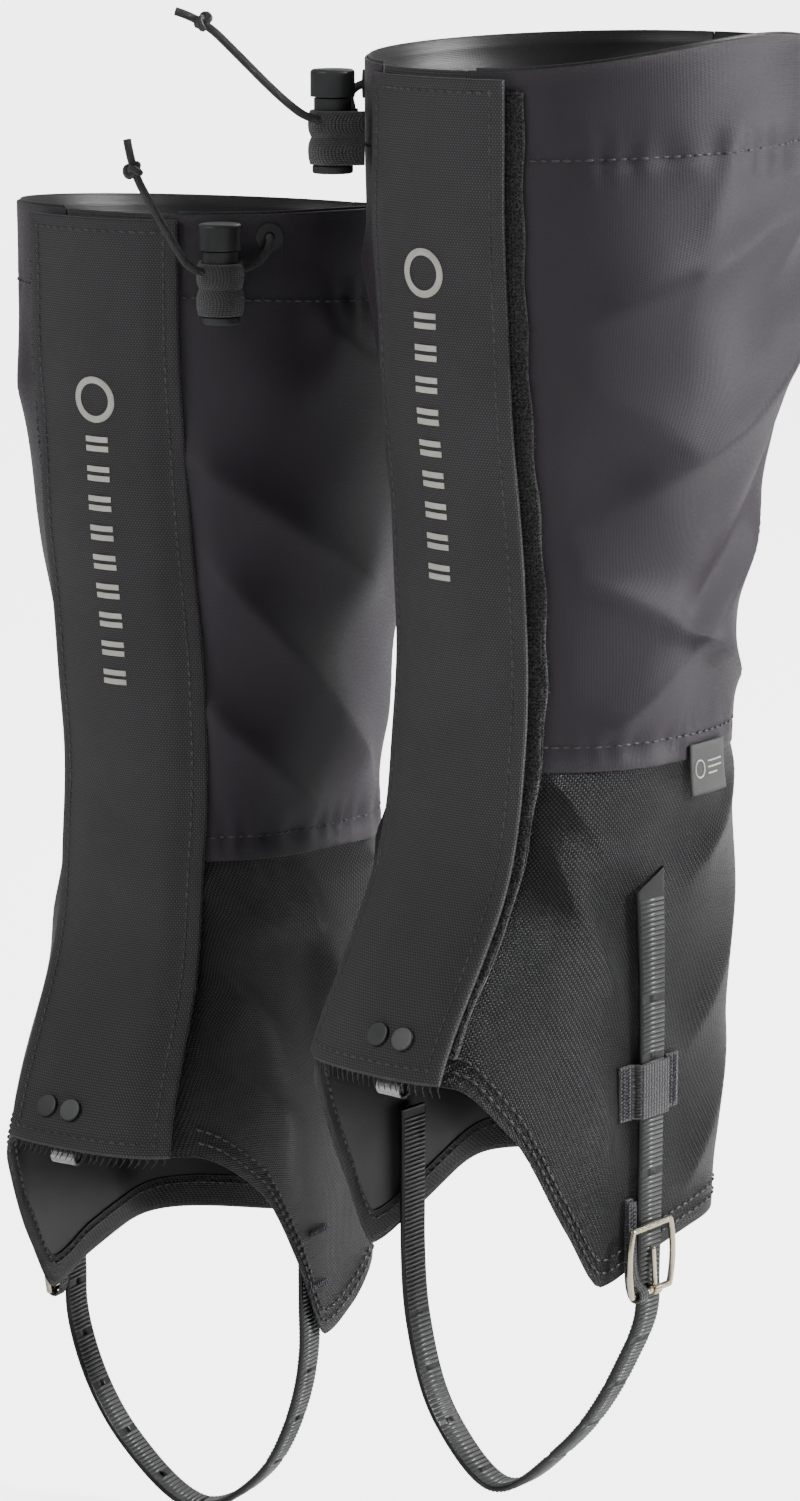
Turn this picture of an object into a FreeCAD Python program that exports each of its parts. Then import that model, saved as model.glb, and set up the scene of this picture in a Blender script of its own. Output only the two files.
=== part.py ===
import FreeCAD, Part
import functools
import math
import os
from FreeCAD import Vector

# A pair of tall trekking gaiters, in millimetres.  +Z is up, the toes point to -Y, and the origin is the
# centre of the left gaiter's top opening.  Both gaiters are built as a left one; the right one is mirrored.

# ---- driving dimensions ------------------------------------------------------------------------------
RIM_RADIUS = 73.5            # half the width of the top opening
SHIN_REACH = 62.0            # front of the leg tube above the ankle, from the leg's axis
ANKLE_HALF_WIDTH = 54.0
ANKLE_BACK = 52.0
INSTEP_REACH = 103.0         # how far the front reaches forward at the flap's lower end
LACE_REACH = 128.0           # the same at the lowest corner of the hem
INWARD_SHIFT = 3.0           # the ankle tube sits this much towards the other leg

CALF_DEPTH = 50.0            # depths below the rim
TAPER_DEPTH = 110.0
SHIN_DEPTH = 170.0
MID_SEAM_DEPTH = 225.0       # joins the upper fabric to the lower one
ANKLE_DEPTH = 270.0
FLAP_LENGTH = 330.0
FOOT_DEPTH = 430.0
HEM_ARCH_DEPTH = 328.0       # hem over the laces
HEM_SIDE_DEPTH = 393.0
HEM_HEEL_DEPTH = 388.0
OUTER_TIP_DEPTH = 406.0      # lowest corner of the hem on the outer side of the foot
INNER_TIP_DEPTH = 413.0

PAIR_GAP = 17.0              # between the two top openings
PAIR_DROP = 54.0             # the right gaiter hangs this much lower

FABRIC = 1.2
HEM_FACING = 0.7
HEM_GAP = 0.8               # room between the turned hem and the panel
TOP_FACING = 0.8
SEAM_GAP = 0.2
LAYER_GAP = 0.2              # between fabric layers that lie on each other
TOP_HEM_HEIGHT = 36.0
BOTTOM_HEM_HEIGHT = 12.0
CHANNEL_ROOM = 2.4           # spare room round the drawcord in the rim's channel

FLAP_INNER_EDGE = -37.0      # the flap's two long edges, measured across the front
FLAP_OUTER_EDGE = 22.5
FLAP_FABRIC = 1.5
FLAP_LIFT = 2.9              # flap off the shell, over the hook and loop strips
FLAP_ROOT_LIFT = 0.7         # the same at the sewn edge
FLAP_ROOT = 12.0             # width over which the flap rises to its full lift
FLAP_TOP_DEPTH = 3.0
LOOP_SHOW = 5.0              # loop strip that shows past the flap
STRIP_WIDTH = 20.0
STRIP = 1.0
STRIP_GAP = 0.4              # under the loop strip
PLACKET_WIDTH = 53.0
BODY_GAP = 0.4               # between pieces that move against each other

SNAP_CAP_RADIUS = 4.2
SNAP_CAP = 1.2
STUD_RADIUS = 1.9
STUD_HEIGHT = 2.1
STUD_BASE = 0.9
SOCKET_LIFT = 1.7            # underside of the socket, off the shell
SNAP_SPACING = 10.0
SNAP_CENTRE = 2.0
SNAP_ABOVE_END = 12.0
SNAP_GAP = 0.4

HOOK_WIDTH = 10.0            # lace hook
HOOK_PLATE = 0.9
HOOK_BEND = 3.0
HOOK_SHANK = 14.0            # above the hem
HOOK_DROP = 3.5              # start of its bend, below the hem
HOOK_LIP = 4.5
HOOK_GAP = 0.5               # between the hook's plate and the fabric

CORD_DIAMETER = 2.8
CHANNEL = CORD_DIAMETER + CHANNEL_ROOM
CORD_DEPTH = 20.0
LOCK_ANGLE = -42.0
LOCK_STAND_OFF = 12.0        # barrel axis off the rim fabric
LOCK_TOP_DEPTH = 3.0
LOCK_BARREL_RADIUS = 6.2
LOCK_WALL = 1.3
LOCK_BARREL_LENGTH = 26.0
LOCK_CAP_RADIUS = 7.4
LOCK_CAP_HEIGHT = 5.0
LOCK_SKIRT_HEIGHT = 4.0      # the cap's rim, which slides down over the barrel
LOCK_SKIRT_WALL = 0.8
LOCK_TRAVEL = 4.0
LOCK_HOLE_TURN = 42.0        # the cord's hole is turned this much outwards from the rim's tangent
TAB_THICKNESS = 1.2
TAB_HEIGHT = 18.5
EYELET_ANGLE = -55.0
EYELET_DEPTH = 9.0
EYELET_RADIUS = 4.8

STRAP_WIDTH = 12.7
STRAP_THICKNESS = 2.0
STRAP_FORWARD = 27.0         # strap's middle, in front of the leg's axis
STRAP_TAIL_TOP_DEPTH = 265.0
STRAP_LIFT = 1.0
BUCKLE_DEPTH = 411.0         # the buckle's lower bar
BUCKLE_HEIGHT = 23.0
BUCKLE_WIRE = 2.2
BUCKLE_TAB_WIDTH = 4.2
KEEPER_WIDTH = 31.0
KEEPER_HEIGHT = 19.0
KEEPER_DEPTH = 331.0
KEEPER_GAP = 0.4
PRONG_REACH = 14.0
INNER_END_DEPTH = 366.0      # sewn inner end of the strap
PIVOT_DEPTH = 418.0         # the loop swings about a line through both of its ends at this depth
PIVOT_CLEAR = 5.2           # the sewn end and the tail stop this far above that line

# Points of the loop under the foot, from the buckle to the sewn end: share of the droop, step inwards from
# that end or from the middle, and how much of the lean each takes.
LOOP_SHAPE = [(0.28, -3.0, 0.45), (0.72, -20.0, 1.0), (1.0, 0.0, 1.0), (0.76, 23.0, 0.6), (0.34, 5.8, 0.25)]

# How each gaiter hangs: turn of its foot towards the other leg, places of the hem's two corners, how far
# its under-foot strap droops and leans towards the other leg, and how much higher its rim is at the calf.
HANG = {
    "left": {"turn": 0.0, "inner_tip": 49.0, "outer_tip": 47.0, "droop": 498.0, "lean": 13.0,
             "rim_rise": 6.0, "cord": "left"},
    "right": {"turn": 9.0, "inner_tip": 68.0, "outer_tip": 49.0, "droop": 488.0, "lean": 4.0,
              "rim_rise": -8.0, "cord": "right"},
}
TURN_START_DEPTH = 225.0
RIM_TUCK = 1.0               # the rim at the flap lies this much under the origin

# Loose ends of the drawcords, from the middle of the lock's hole: along the hole, outwards, upwards.
TAIL_ROUTE = {
    "left": [(12, 0, 0.2), (15, 8.5, 8), (14, 23, 22), (10, 37.5, 34), (7, 48, 36.5)],
    "right": [(12, 0, 0.2), (20, 1, 11), (29.5, 2, 24.5), (38, 2, 37.5), (40, 1, 47.5)],
}
KNOT_RADIUS = 3.0

# depth, half width, front reach, back reach, squareness of the section, shift towards the other leg
STATIONS = [
    (0.0, RIM_RADIUS + 0.5, RIM_RADIUS - 1.5, RIM_RADIUS + 0.5, 2.0, 0.0),
    (CALF_DEPTH, RIM_RADIUS - 0.5, RIM_RADIUS - 1.5, RIM_RADIUS - 0.5, 2.0, 0.0),
    (TAPER_DEPTH, RIM_RADIUS - 5.5, RIM_RADIUS - 5.5, RIM_RADIUS - 6.5, 2.0, 0.0),
    (SHIN_DEPTH, ANKLE_HALF_WIDTH + 4.0, SHIN_REACH, ANKLE_BACK + 2.0, 2.1, INWARD_SHIFT - 1.0),
    (MID_SEAM_DEPTH, ANKLE_HALF_WIDTH, SHIN_REACH, ANKLE_BACK, 2.3, INWARD_SHIFT),
    (ANKLE_DEPTH, ANKLE_HALF_WIDTH, SHIN_REACH + 8.0, ANKLE_BACK + 1.0, 2.6, INWARD_SHIFT),
    (FLAP_LENGTH - 5.0, ANKLE_HALF_WIDTH, INSTEP_REACH, ANKLE_BACK - 6.0, 2.9, INWARD_SHIFT),
    (FOOT_DEPTH, ANKLE_HALF_WIDTH - 1.0, LACE_REACH, ANKLE_BACK - 16.0, 3.0, INWARD_SHIFT),
]

PAIR_SPACING = 2 * RIM_RADIUS + PAIR_GAP


# ---- the leg tube as a surface -----------------------------------------------------------------------
def smooth_through(knots, x, monotone=False):
    """Value at x of a smooth curve through the (x, value) knots, level before the first one."""
    if x <= knots[0][0]:
        return knots[0][1]
    if x >= knots[-1][0]:
        return knots[-1][1]
    slopes = [(b[1] - a[1]) / (b[0] - a[0]) for a, b in zip(knots, knots[1:])]
    tangents = [0.0]
    for i, (p, q) in enumerate(zip(slopes, slopes[1:])):
        before = knots[i + 1][0] - knots[i][0]
        after = knots[i + 2][0] - knots[i + 1][0]
        if monotone:
            tangents.append(2 * p * q / (p + q) if p * q > 0 else 0.0)
        else:
            tangents.append((p * after + q * before) / (before + after))
    tangents.append(slopes[-1])
    for i, (a, b) in enumerate(zip(knots, knots[1:])):
        if x <= b[0]:
            width = b[0] - a[0]
            t = (x - a[0]) / width
            return ((1 + 2 * t) * (1 - t) ** 2 * a[1] + t * (1 - t) ** 2 * width * tangents[i]
                    + t * t * (3 - 2 * t) * b[1] + t * t * (t - 1) * width * tangents[i + 1])


@functools.lru_cache(maxsize=None)
def section(z):
    """Half width, front reach, back reach, squareness and inward shift at a height."""
    return [smooth_through([(s[0], s[k]) for s in STATIONS], -z) for k in range(1, 6)]


@functools.lru_cache(maxsize=None)
def foot_turn(side, z):
    """Turn of the tube about its axis, in degrees, growing from the mid seam to the flap's end."""
    return smooth_through([(TURN_START_DEPTH, 0.0), (FLAP_LENGTH, HANG[side]["turn"])], -z)


def on_section(side, angle, z):
    """Point of the tube at an angle from the front, positive towards the outer side of the foot."""
    half_width, front, back, squareness, shift = section(z)
    s = math.sin(math.radians(angle))
    c = math.cos(math.radians(angle))
    reach = front if c > 0 else back
    r = ((abs(s) / half_width) ** squareness + (abs(c) / reach) ** squareness) ** (-1.0 / squareness)
    point = Vector(r * s - shift, -r * c, z)
    turn = FreeCAD.Rotation(Vector(0, 0, 1), -foot_turn(side, z))
    return turn.multVec(point)


def outward(side, angle, z):
    across = on_section(side, angle + 0.5, z) - on_section(side, angle - 0.5, z)
    along = on_section(side, angle, z + 0.5) - on_section(side, angle, z - 0.5)
    return across.cross(along).normalize()


def skin(side, angle, z, lift=0.0):
    """Point at a lift outwards from the tube."""
    return on_section(side, angle, z) + outward(side, angle, z) * lift


@functools.lru_cache(maxsize=None)
def front_angle(x, z):
    """Angle of the point of the untwisted tube's front that lies at x."""
    low, high = -85.0, 85.0
    for _ in range(26):
        middle = (low + high) / 2
        if on_section("left", middle, z).x < x:
            low = middle
        else:
            high = middle
    return low


@functools.lru_cache(maxsize=None)
def side_angle(y, z, inner=False):
    """Angle of the point of the untwisted tube's outer or inner side that lies at y."""
    low, high = (-150.0, -20.0) if inner else (20.0, 150.0)
    for _ in range(26):
        middle = (low + high) / 2
        if (on_section("left", middle, z).y < y) != inner:
            low = middle
        else:
            high = middle
    return low


def rim_z(side, angle):
    return -RIM_TUCK + HANG[side]["rim_rise"] * (1 - math.cos(math.radians(angle))) / 2


def hem_z(side, angle):
    """Height of the bottom edge: an arch over the laces, a corner each side, then nearly level."""
    tip = HANG[side]["outer_tip"] if angle > 0 else HANG[side]["inner_tip"]
    tip_depth = OUTER_TIP_DEPTH if angle > 0 else INNER_TIP_DEPTH
    depth = smooth_through([(0.0, HEM_ARCH_DEPTH), (0.34 * tip, HEM_ARCH_DEPTH + 1.5),
                            (0.57 * tip, HEM_ARCH_DEPTH + 19.0), (0.79 * tip, HEM_ARCH_DEPTH + 54.0),
                            (tip, tip_depth), (tip + 18.0, tip_depth - 6.0),
                            (110.0, HEM_SIDE_DEPTH), (180.0, HEM_HEEL_DEPTH)], abs(angle), monotone=True)
    return -depth


# ---- solids laid on the surface ----------------------------------------------------------------------
def value(quantity, *arguments):
    return quantity(*arguments) if callable(quantity) else quantity


def patch(side, angles, heights, lifts, columns=9, rows=9):
    """Closed solid between two lifts of the tube.

    angles gives the two side edges (each a number or a function of z), heights the top and bottom
    edges (numbers or functions of the angle), lifts the inner and outer lift (numbers or functions
    of the share of the way across).
    """
    skins = []
    for lift in lifts:
        grid = []
        for i in range(columns):
            u = i / (columns - 1.0)
            column = []
            for j in range(rows):
                v = j / (rows - 1.0)
                z = value(heights[0], 0.0) + v * (value(heights[1], 0.0) - value(heights[0], 0.0))
                for _ in range(3):
                    start, end = value(angles[0], z), value(angles[1], z)
                    angle = start + u * (end - start)
                    z_top, z_bottom = value(heights[0], angle), value(heights[1], angle)
                    z = z_top + v * (z_bottom - z_top)
                column.append(skin(side, angle, z, value(lift, u)))
            grid.append(column)
        surface = Part.BSplineSurface()
        surface.interpolate(grid)
        skins.append(surface)
    inner, outer = skins
    u0, u1, v0, v1 = inner.bounds()
    faces = [inner.toShape(), outer.toShape()]
    for u in (u0, u1):
        faces.append(Part.makeRuledSurface(inner.uIso(u).toShape(), outer.uIso(u).toShape()))
    for v in (v0, v1):
        faces.append(Part.makeRuledSurface(inner.vIso(v).toShape(), outer.vIso(v).toShape()))
    return closed(faces)


def closed(faces):
    shell = Part.Shell(faces)
    shell.sewShape()
    solid = Part.Solid(shell)
    if solid.Volume < 0:
        solid.reverse()
    return solid


def cylinder(radius, length, base=Vector(0, 0, 0), axis=Vector(0, 0, 1)):
    return Part.makeCylinder(radius, length, base, axis)


def box(x0, x1, y0, y1, z0, z1):
    return Part.makeBox(x1 - x0, y1 - y0, z1 - z0, Vector(x0, y0, z0))


def fused(shapes):
    return shapes[0].fuse(shapes[1:]).removeSplitter() if len(shapes) > 1 else shapes[0]


def tube_along(points, diameter, name):
    """Round tube on straight runs joined by tangent arcs; prints the arcs' radii."""
    edges = []
    radii = []
    start = points[0]
    for before, corner, after in zip(points, points[1:], points[2:]):
        back = before - corner
        ahead = after - corner
        half_turn = (math.pi - back.getAngle(ahead)) / 2
        cut = 0.45 * min(back.Length, ahead.Length)
        radii.append(cut / math.tan(half_turn))
        enter = corner + Vector(back).normalize() * cut
        leave = corner + Vector(ahead).normalize() * cut
        bisector = (Vector(back).normalize() + Vector(ahead).normalize()).normalize()
        centre_distance = radii[-1] / math.cos(half_turn)
        middle = corner + bisector * (centre_distance - radii[-1])
        edges.append(Part.LineSegment(start, enter).toShape())
        edges.append(Part.Arc(enter, middle, leave).toShape())
        start = leave
    edges.append(Part.LineSegment(start, points[-1]).toShape())
    path = Part.Wire(edges)
    direction = (points[1] - points[0]).normalize()
    profile = Part.Wire([Part.Circle(points[0], direction, diameter / 2).toShape()])
    tube = path.makePipeShell([profile], True, False)
    share = tube.Volume / (math.pi * diameter ** 2 / 4 * path.Length)
    print("%s: length %.1f, arc radii %s, volume share %.3f"
          % (name, path.Length, [round(r, 1) for r in radii], share))
    return tube


# ---- fabric panels -----------------------------------------------------------------------------------
def placket_edge(z):
    """Outer panel's front edge, under the flap's outer side."""
    return front_angle(FLAP_OUTER_EDGE + LOOP_SHOW - STRIP, z)


def slit_edge(z):
    """Where the front opening runs, next to the flap's sewn edge."""
    return front_angle(FLAP_OUTER_EDGE + LOOP_SHOW - STRIP - PLACKET_WIDTH, z)


def seam_gap_angle(z):
    return math.degrees(SEAM_GAP / ANKLE_HALF_WIDTH)


def panels(side):
    shell = (-FABRIC, 0.0)
    outer = (lambda z: placket_edge(z) + seam_gap_angle(z), 180.0 - 0.1)
    inner = (-180.0 + 0.1, lambda z: slit_edge(z) - 10 * seam_gap_angle(z))
    upper = (lambda angle: rim_z(side, angle), -MID_SEAM_DEPTH)
    lower = (-MID_SEAM_DEPTH - SEAM_GAP, lambda angle: hem_z(side, angle))
    return {
        "upper_outer_panel": patch(side, outer, upper, shell, 15, 11),
        "upper_inner_panel": patch(side, inner, upper, shell, 15, 11),
        "lower_outer_panel": patch(side, outer, lower, shell, 33, 11),
        "lower_inner_panel": patch(side, inner, lower, shell, 33, 11),
    }


def facings(side):
    """Inner layers: the drawcord channel round the rim and the turned hem."""
    outer = (lambda z: placket_edge(z) + 2.0, 179.8)
    inner = (-179.8, lambda z: slit_edge(z) - 6.0)
    top = (lambda angle: rim_z(side, angle) - 1.0, lambda angle: rim_z(side, angle) - TOP_HEM_HEIGHT)
    bottom = (lambda angle: hem_z(side, angle) + BOTTOM_HEM_HEIGHT,
              lambda angle: hem_z(side, angle) + 0.5)
    channel_lift = -FABRIC - CHANNEL
    hem_lift = -FABRIC - HEM_GAP
    tops = [patch(side, edges, top, (channel_lift - TOP_FACING, channel_lift), 15, 5) for edges in (outer, inner)]
    hems = [patch(side, edges, bottom, (hem_lift - HEM_FACING, hem_lift), 33, 3) for edges in (outer, inner)]
    return {"top_facing": Part.makeCompound(tops), "hem_facing": Part.makeCompound(hems)}


def placket(side):
    edges = (slit_edge, placket_edge)
    heights = (lambda angle: rim_z(side, angle), -HEM_ARCH_DEPTH)
    return {"placket": patch(side, edges, heights, (-FABRIC, 0.0), 17, 33)}


def loop_strip(side):
    edges = (lambda z: front_angle(FLAP_OUTER_EDGE + LOOP_SHOW - STRIP_WIDTH - LOOP_SHOW, z),
             lambda z: front_angle(FLAP_OUTER_EDGE + LOOP_SHOW, z))
    heights = (-FLAP_TOP_DEPTH - 4.0, -FLAP_LENGTH + 20.0)
    return {"loop_strip": patch(side, edges, heights, (STRIP_GAP, STRIP_GAP + STRIP), 9, 33)}


# ---- front flap --------------------------------------------------------------------------------------
def flap_lift(x):
    t = min(max((x - FLAP_INNER_EDGE) / FLAP_ROOT, 0.0), 1.0)
    return FLAP_ROOT_LIFT + (FLAP_LIFT - FLAP_ROOT_LIFT) * t * t * (3 - 2 * t)


def flap_patch(side, x0, x1, heights, above, thickness, columns, rows):
    """Patch laid on the flap between two places across the front, above its inner face."""
    edges = (lambda z: front_angle(x0, z), lambda z: front_angle(x1, z))

    def inner(u):
        return flap_lift(x0 + u * (x1 - x0)) + above

    def outer(u):
        return inner(u) + thickness

    return patch(side, edges, heights, (inner, outer), columns, rows)


def front_flap(side):
    full = (-FLAP_TOP_DEPTH, -FLAP_LENGTH)
    flap = flap_patch(side, FLAP_INNER_EDGE, FLAP_OUTER_EDGE, full, 0.0, FLAP_FABRIC, 17, 33)
    strip = (-FLAP_TOP_DEPTH - 6.0, -FLAP_LENGTH + 22.0)
    hooks = flap_patch(side, FLAP_OUTER_EDGE - STRIP_WIDTH, FLAP_OUTER_EDGE - 2.0, strip,
                       -STRIP - LAYER_GAP / 2, STRIP, 9, 33)
    return {"front_flap": flap, "hook_strip": hooks}


MARK_DEPTH = 66.0
MARK_RADIUS = 8.0
MARK_LINE = 2.2
MARK_BARS = 9
MARK_BAR_PITCH = 10.5
MARK_BAR = (9.0, 5.2)
MARK_RAISE = 0.4


def flap_mark(side):
    """Embroidery: a plain ring above a column of plain bars."""
    middle = (FLAP_INNER_EDGE + FLAP_OUTER_EDGE) / 2
    plate = flap_patch(side, middle - MARK_RADIUS - 1, middle + MARK_RADIUS + 1,
                       (-MARK_DEPTH + MARK_RADIUS + 1, -MARK_DEPTH - MARK_RADIUS - 1),
                       FLAP_FABRIC + LAYER_GAP, MARK_RAISE, 5, 5)
    centre = Vector(middle, -2 * RIM_RADIUS, -MARK_DEPTH)
    ring = cylinder(MARK_RADIUS, 2 * RIM_RADIUS, centre, Vector(0, 1, 0)).cut(
        cylinder(MARK_RADIUS - MARK_LINE, 2 * RIM_RADIUS, centre, Vector(0, 1, 0)))
    pieces = [plate.common(ring)]
    first = MARK_DEPTH + MARK_RADIUS + 5.0
    for i in range(MARK_BARS):
        top = -first - i * MARK_BAR_PITCH
        pieces.append(flap_patch(side, middle - MARK_BAR[0] / 2, middle + MARK_BAR[0] / 2,
                                 (top, top - MARK_BAR[1]), FLAP_FABRIC + LAYER_GAP, MARK_RAISE, 4, 4))
    return {"flap_mark": Part.makeCompound([s for p in pieces for s in p.Solids])}


def standing_on(side, x, z, lift, shape):
    """Shape built round +Z, stood on the front of the tube."""
    angle = front_angle(x, z)
    turned = shape.copy()
    turned.Placement = FreeCAD.Placement(skin(side, angle, z, lift),
                                         FreeCAD.Rotation(Vector(0, 0, 1), outward(side, angle, z)))
    return turned


def snaps(side):
    """Press snaps: studs on the placket, sockets and caps on the flap."""
    z = -FLAP_LENGTH + SNAP_ABOVE_END
    studs = []
    caps = []
    for x in (SNAP_CENTRE - SNAP_SPACING / 2, SNAP_CENTRE + SNAP_SPACING / 2):
        stud = fused([cylinder(SNAP_CAP_RADIUS - 0.4, STUD_BASE), cylinder(STUD_RADIUS, STUD_HEIGHT)])
        studs.append(standing_on(side, x, z, SNAP_GAP, stud))
        socket = cylinder(SNAP_CAP_RADIUS - 0.2, FLAP_LIFT - SOCKET_LIFT - SNAP_GAP).cut(
            cylinder(STUD_RADIUS + BODY_GAP, FLAP_LIFT - SOCKET_LIFT))
        caps.append(standing_on(side, x, z, SOCKET_LIFT, socket))
        cap = cylinder(SNAP_CAP_RADIUS, SNAP_CAP)
        cap = cap.makeFillet(0.5, [cap.Edges[0]])
        caps.append(standing_on(side, x, z, FLAP_LIFT + FLAP_FABRIC + SNAP_GAP, cap))
    return {"snap_studs": Part.makeCompound(studs), "snap_caps": Part.makeCompound(caps)}


def lace_hook(side):
    """Plate behind the placket with a hook that turns inwards and up below the hem."""
    width, plate, turn = HOOK_WIDTH, HOOK_PLATE, HOOK_BEND
    z = -HEM_ARCH_DEPTH
    top = z + HOOK_SHANK
    low = z - HOOK_DROP
    angle = front_angle(SNAP_CENTRE, z)
    face = skin(side, angle, z, -FABRIC - HOOK_GAP)
    shank = box(-width / 2, width / 2, 0, plate, low - z, top - z)
    bend = cylinder(turn, width, Vector(-width / 2, turn, low - z), Vector(1, 0, 0)).cut(
        cylinder(turn - plate, width, Vector(-width / 2, turn, low - z), Vector(1, 0, 0)))
    bend = bend.cut(box(-width, width, -turn, 3 * turn, low - z, low - z + 2 * turn))
    lip = box(-width / 2, width / 2, 2 * turn - plate, 2 * turn, low - z, low - z + HOOK_LIP)
    hook = fused([shank, bend, lip])
    lean = math.degrees(math.atan2(face.y - skin(side, angle, top, -FABRIC - HOOK_GAP).y, top - z))
    hook.rotate(Vector(0, 0, 0), Vector(1, 0, 0), lean)
    hook.rotate(Vector(0, 0, 0), Vector(0, 0, 1), -foot_turn(side, z))
    hook.translate(face)
    return {"lace_hook": hook}


# ---- drawcord and its lock ---------------------------------------------------------------------------
def lock_frame(side):
    """Placement of the lock: its X along the rim, its Y towards the leg, its Z up."""
    z = -LOCK_TOP_DEPTH
    centre = skin(side, LOCK_ANGLE, z, LOCK_STAND_OFF)
    heading = outward(side, LOCK_ANGLE, z)
    turn = math.degrees(math.atan2(heading.x, -heading.y))
    return FreeCAD.Placement(Vector(centre.x, centre.y, z), FreeCAD.Rotation(Vector(0, 0, 1), turn))


def hole_direction():
    turn = math.radians(-LOCK_HOLE_TURN)
    return Vector(math.cos(turn), math.sin(turn), 0)


def cord_lock(side):
    """Barrel held in an elastic tab, a plunger with a cap, and the spring under it."""
    frame = lock_frame(side)
    barrel_top = -LOCK_CAP_HEIGHT - LOCK_TRAVEL - 0.5
    barrel_low = barrel_top - LOCK_BARREL_LENGTH + LOCK_TRAVEL
    hole_z = -(CORD_DEPTH - LOCK_TOP_DEPTH)
    clear = CORD_DIAMETER / 2 + 0.6
    bore = LOCK_BARREL_RADIUS - LOCK_WALL
    hole_axis = hole_direction()
    through = cylinder(clear, 60, Vector(0, 0, hole_z) - hole_axis * 30, hole_axis)

    barrel = cylinder(LOCK_BARREL_RADIUS, barrel_top - barrel_low, Vector(0, 0, barrel_low))
    barrel = barrel.cut(cylinder(bore, barrel_top - barrel_low - 2.0, Vector(0, 0, barrel_low + 2.0)))
    flange = cylinder(LOCK_CAP_RADIUS - 0.6, 2.8, Vector(0, 0, barrel_low - 2.8))
    barrel = fused([barrel, flange.makeFillet(0.7, flange.Edges)]).cut(through)

    stem_low = hole_z - clear - LOCK_TRAVEL - 1.6
    stem_radius = bore - 0.35
    stem = cylinder(stem_radius, -LOCK_CAP_HEIGHT - stem_low, Vector(0, 0, stem_low))
    cap = cylinder(LOCK_CAP_RADIUS, LOCK_CAP_HEIGHT, Vector(0, 0, -LOCK_CAP_HEIGHT))
    cap = cap.makeFillet(1.2, [cap.Edges[0]])
    skirt_low = -LOCK_CAP_HEIGHT - LOCK_SKIRT_HEIGHT
    skirt = cylinder(LOCK_CAP_RADIUS, LOCK_SKIRT_HEIGHT, Vector(0, 0, skirt_low)).cut(
        cylinder(LOCK_CAP_RADIUS - LOCK_SKIRT_WALL, LOCK_SKIRT_HEIGHT, Vector(0, 0, skirt_low)))
    slot = fused([through, through.translated(Vector(0, 0, LOCK_TRAVEL)),
                  slot_block(hole_axis, clear, hole_z, hole_z + LOCK_TRAVEL)])
    plunger = fused([stem, cap, skirt]).cut(slot)

    spring_space = stem_low - (barrel_low + 2.0)
    spring = cylinder(bore - 0.6, spring_space - 0.2, Vector(0, 0, barrel_low + 2.1)).cut(
        cylinder(bore - 1.4, spring_space, Vector(0, 0, barrel_low + 2.0)))
    pieces = {"lock_barrel": barrel, "lock_plunger": plunger, "lock_spring": spring,
              "elastic_tab": elastic_tab(barrel_top, barrel_low, through)}
    for shape in pieces.values():
        shape.Placement = frame.multiply(shape.Placement)
    return pieces


def slot_block(axis, half_width, low, high):
    """Block along the cord's hole that joins its two ends into a slot."""
    block = box(-30, 30, -half_width, half_width, low, high)
    block.rotate(Vector(0, 0, 0), Vector(0, 0, 1), math.degrees(math.atan2(axis.y, axis.x)))
    return block


def elastic_tab(barrel_top, barrel_low, through):
    """Band that goes round the barrel and back to the rim fabric, with a window for the cord."""
    inside = LOCK_BARREL_RADIUS + 0.1
    outside = inside + TAB_THICKNESS
    root = LOCK_STAND_OFF - 2.0
    low = barrel_low + LAYER_GAP
    high = min(low + TAB_HEIGHT, barrel_top - LOCK_TRAVEL)
    solid = fused([cylinder(outside, high - low, Vector(0, 0, low)),
                   box(-outside, outside, 0, root, low, high)])
    hollow = fused([cylinder(inside, high - low, Vector(0, 0, low)),
                    box(-inside, inside, 0, root, low, high)])
    return solid.cut(hollow).cut(through)


def cord_and_eyelet(side):
    """Drawcord round its channel, the eyelet it leaves by, and its loose end through the lock."""
    z = -CORD_DEPTH
    lift = -FABRIC - CHANNEL / 2
    start = skin(side, placket_edge(z) + 4.0, z, lift)
    middle = skin(side, 170.0, z, lift)
    end = skin(side, EYELET_ANGLE, z, lift)
    ring = Part.Arc(start, middle, end).toShape()
    heading = ring.tangentAt(ring.FirstParameter)
    profile = Part.Wire([Part.Circle(start, heading, CORD_DIAMETER / 2).toShape()])
    drawcord = Part.Wire([ring]).makePipeShell([profile], True, False)

    eyelet_z = -EYELET_DEPTH
    normal = outward(side, EYELET_ANGLE, eyelet_z)
    mouth = skin(side, EYELET_ANGLE, eyelet_z, LAYER_GAP)
    eyelet = cylinder(EYELET_RADIUS, 0.9, mouth, normal).cut(
        cylinder(CORD_DIAMETER / 2 + 0.5, 0.9, mouth, normal))

    frame = lock_frame(side)
    along = frame.Rotation.multVec(hole_direction())
    away = frame.Rotation.multVec(Vector(0, -1, 0))
    centre = Vector(frame.Base.x, frame.Base.y, z)
    leave = mouth + normal * 6.5 + Vector(0, 0, -2.0)
    entry = centre - along * 14.0
    points = [mouth + normal * 0.6, leave, entry]
    for forward, out, up in TAIL_ROUTE[HANG[side]["cord"]]:
        points.append(centre + along * forward + away * out + Vector(0, 0, up))
    tail = tube_along(points, CORD_DIAMETER, side + "_drawcord_tail")
    knot = Part.makeSphere(KNOT_RADIUS, points[-2])
    return {"drawcord": drawcord, "eyelet": eyelet, "drawcord_tail": fused([tail, knot])}


# ---- under-foot strap and buckle ---------------------------------------------------------------------
def strap_edges(half_width):
    return (lambda z: side_angle(-STRAP_FORWARD - half_width, z),
            lambda z: side_angle(-STRAP_FORWARD + half_width, z))


def at_hem(side, shape):
    """Shape built in the unturned frame, turned with the foot."""
    shape.rotate(Vector(0, 0, 0), Vector(0, 0, 1), -HANG[side]["turn"])
    return shape


def outer_face_x():
    """Outer side of the lower panel where the buckle lies."""
    return on_section("left", side_angle(-STRAP_FORWARD, -BUCKLE_DEPTH), -BUCKLE_DEPTH).x


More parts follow.
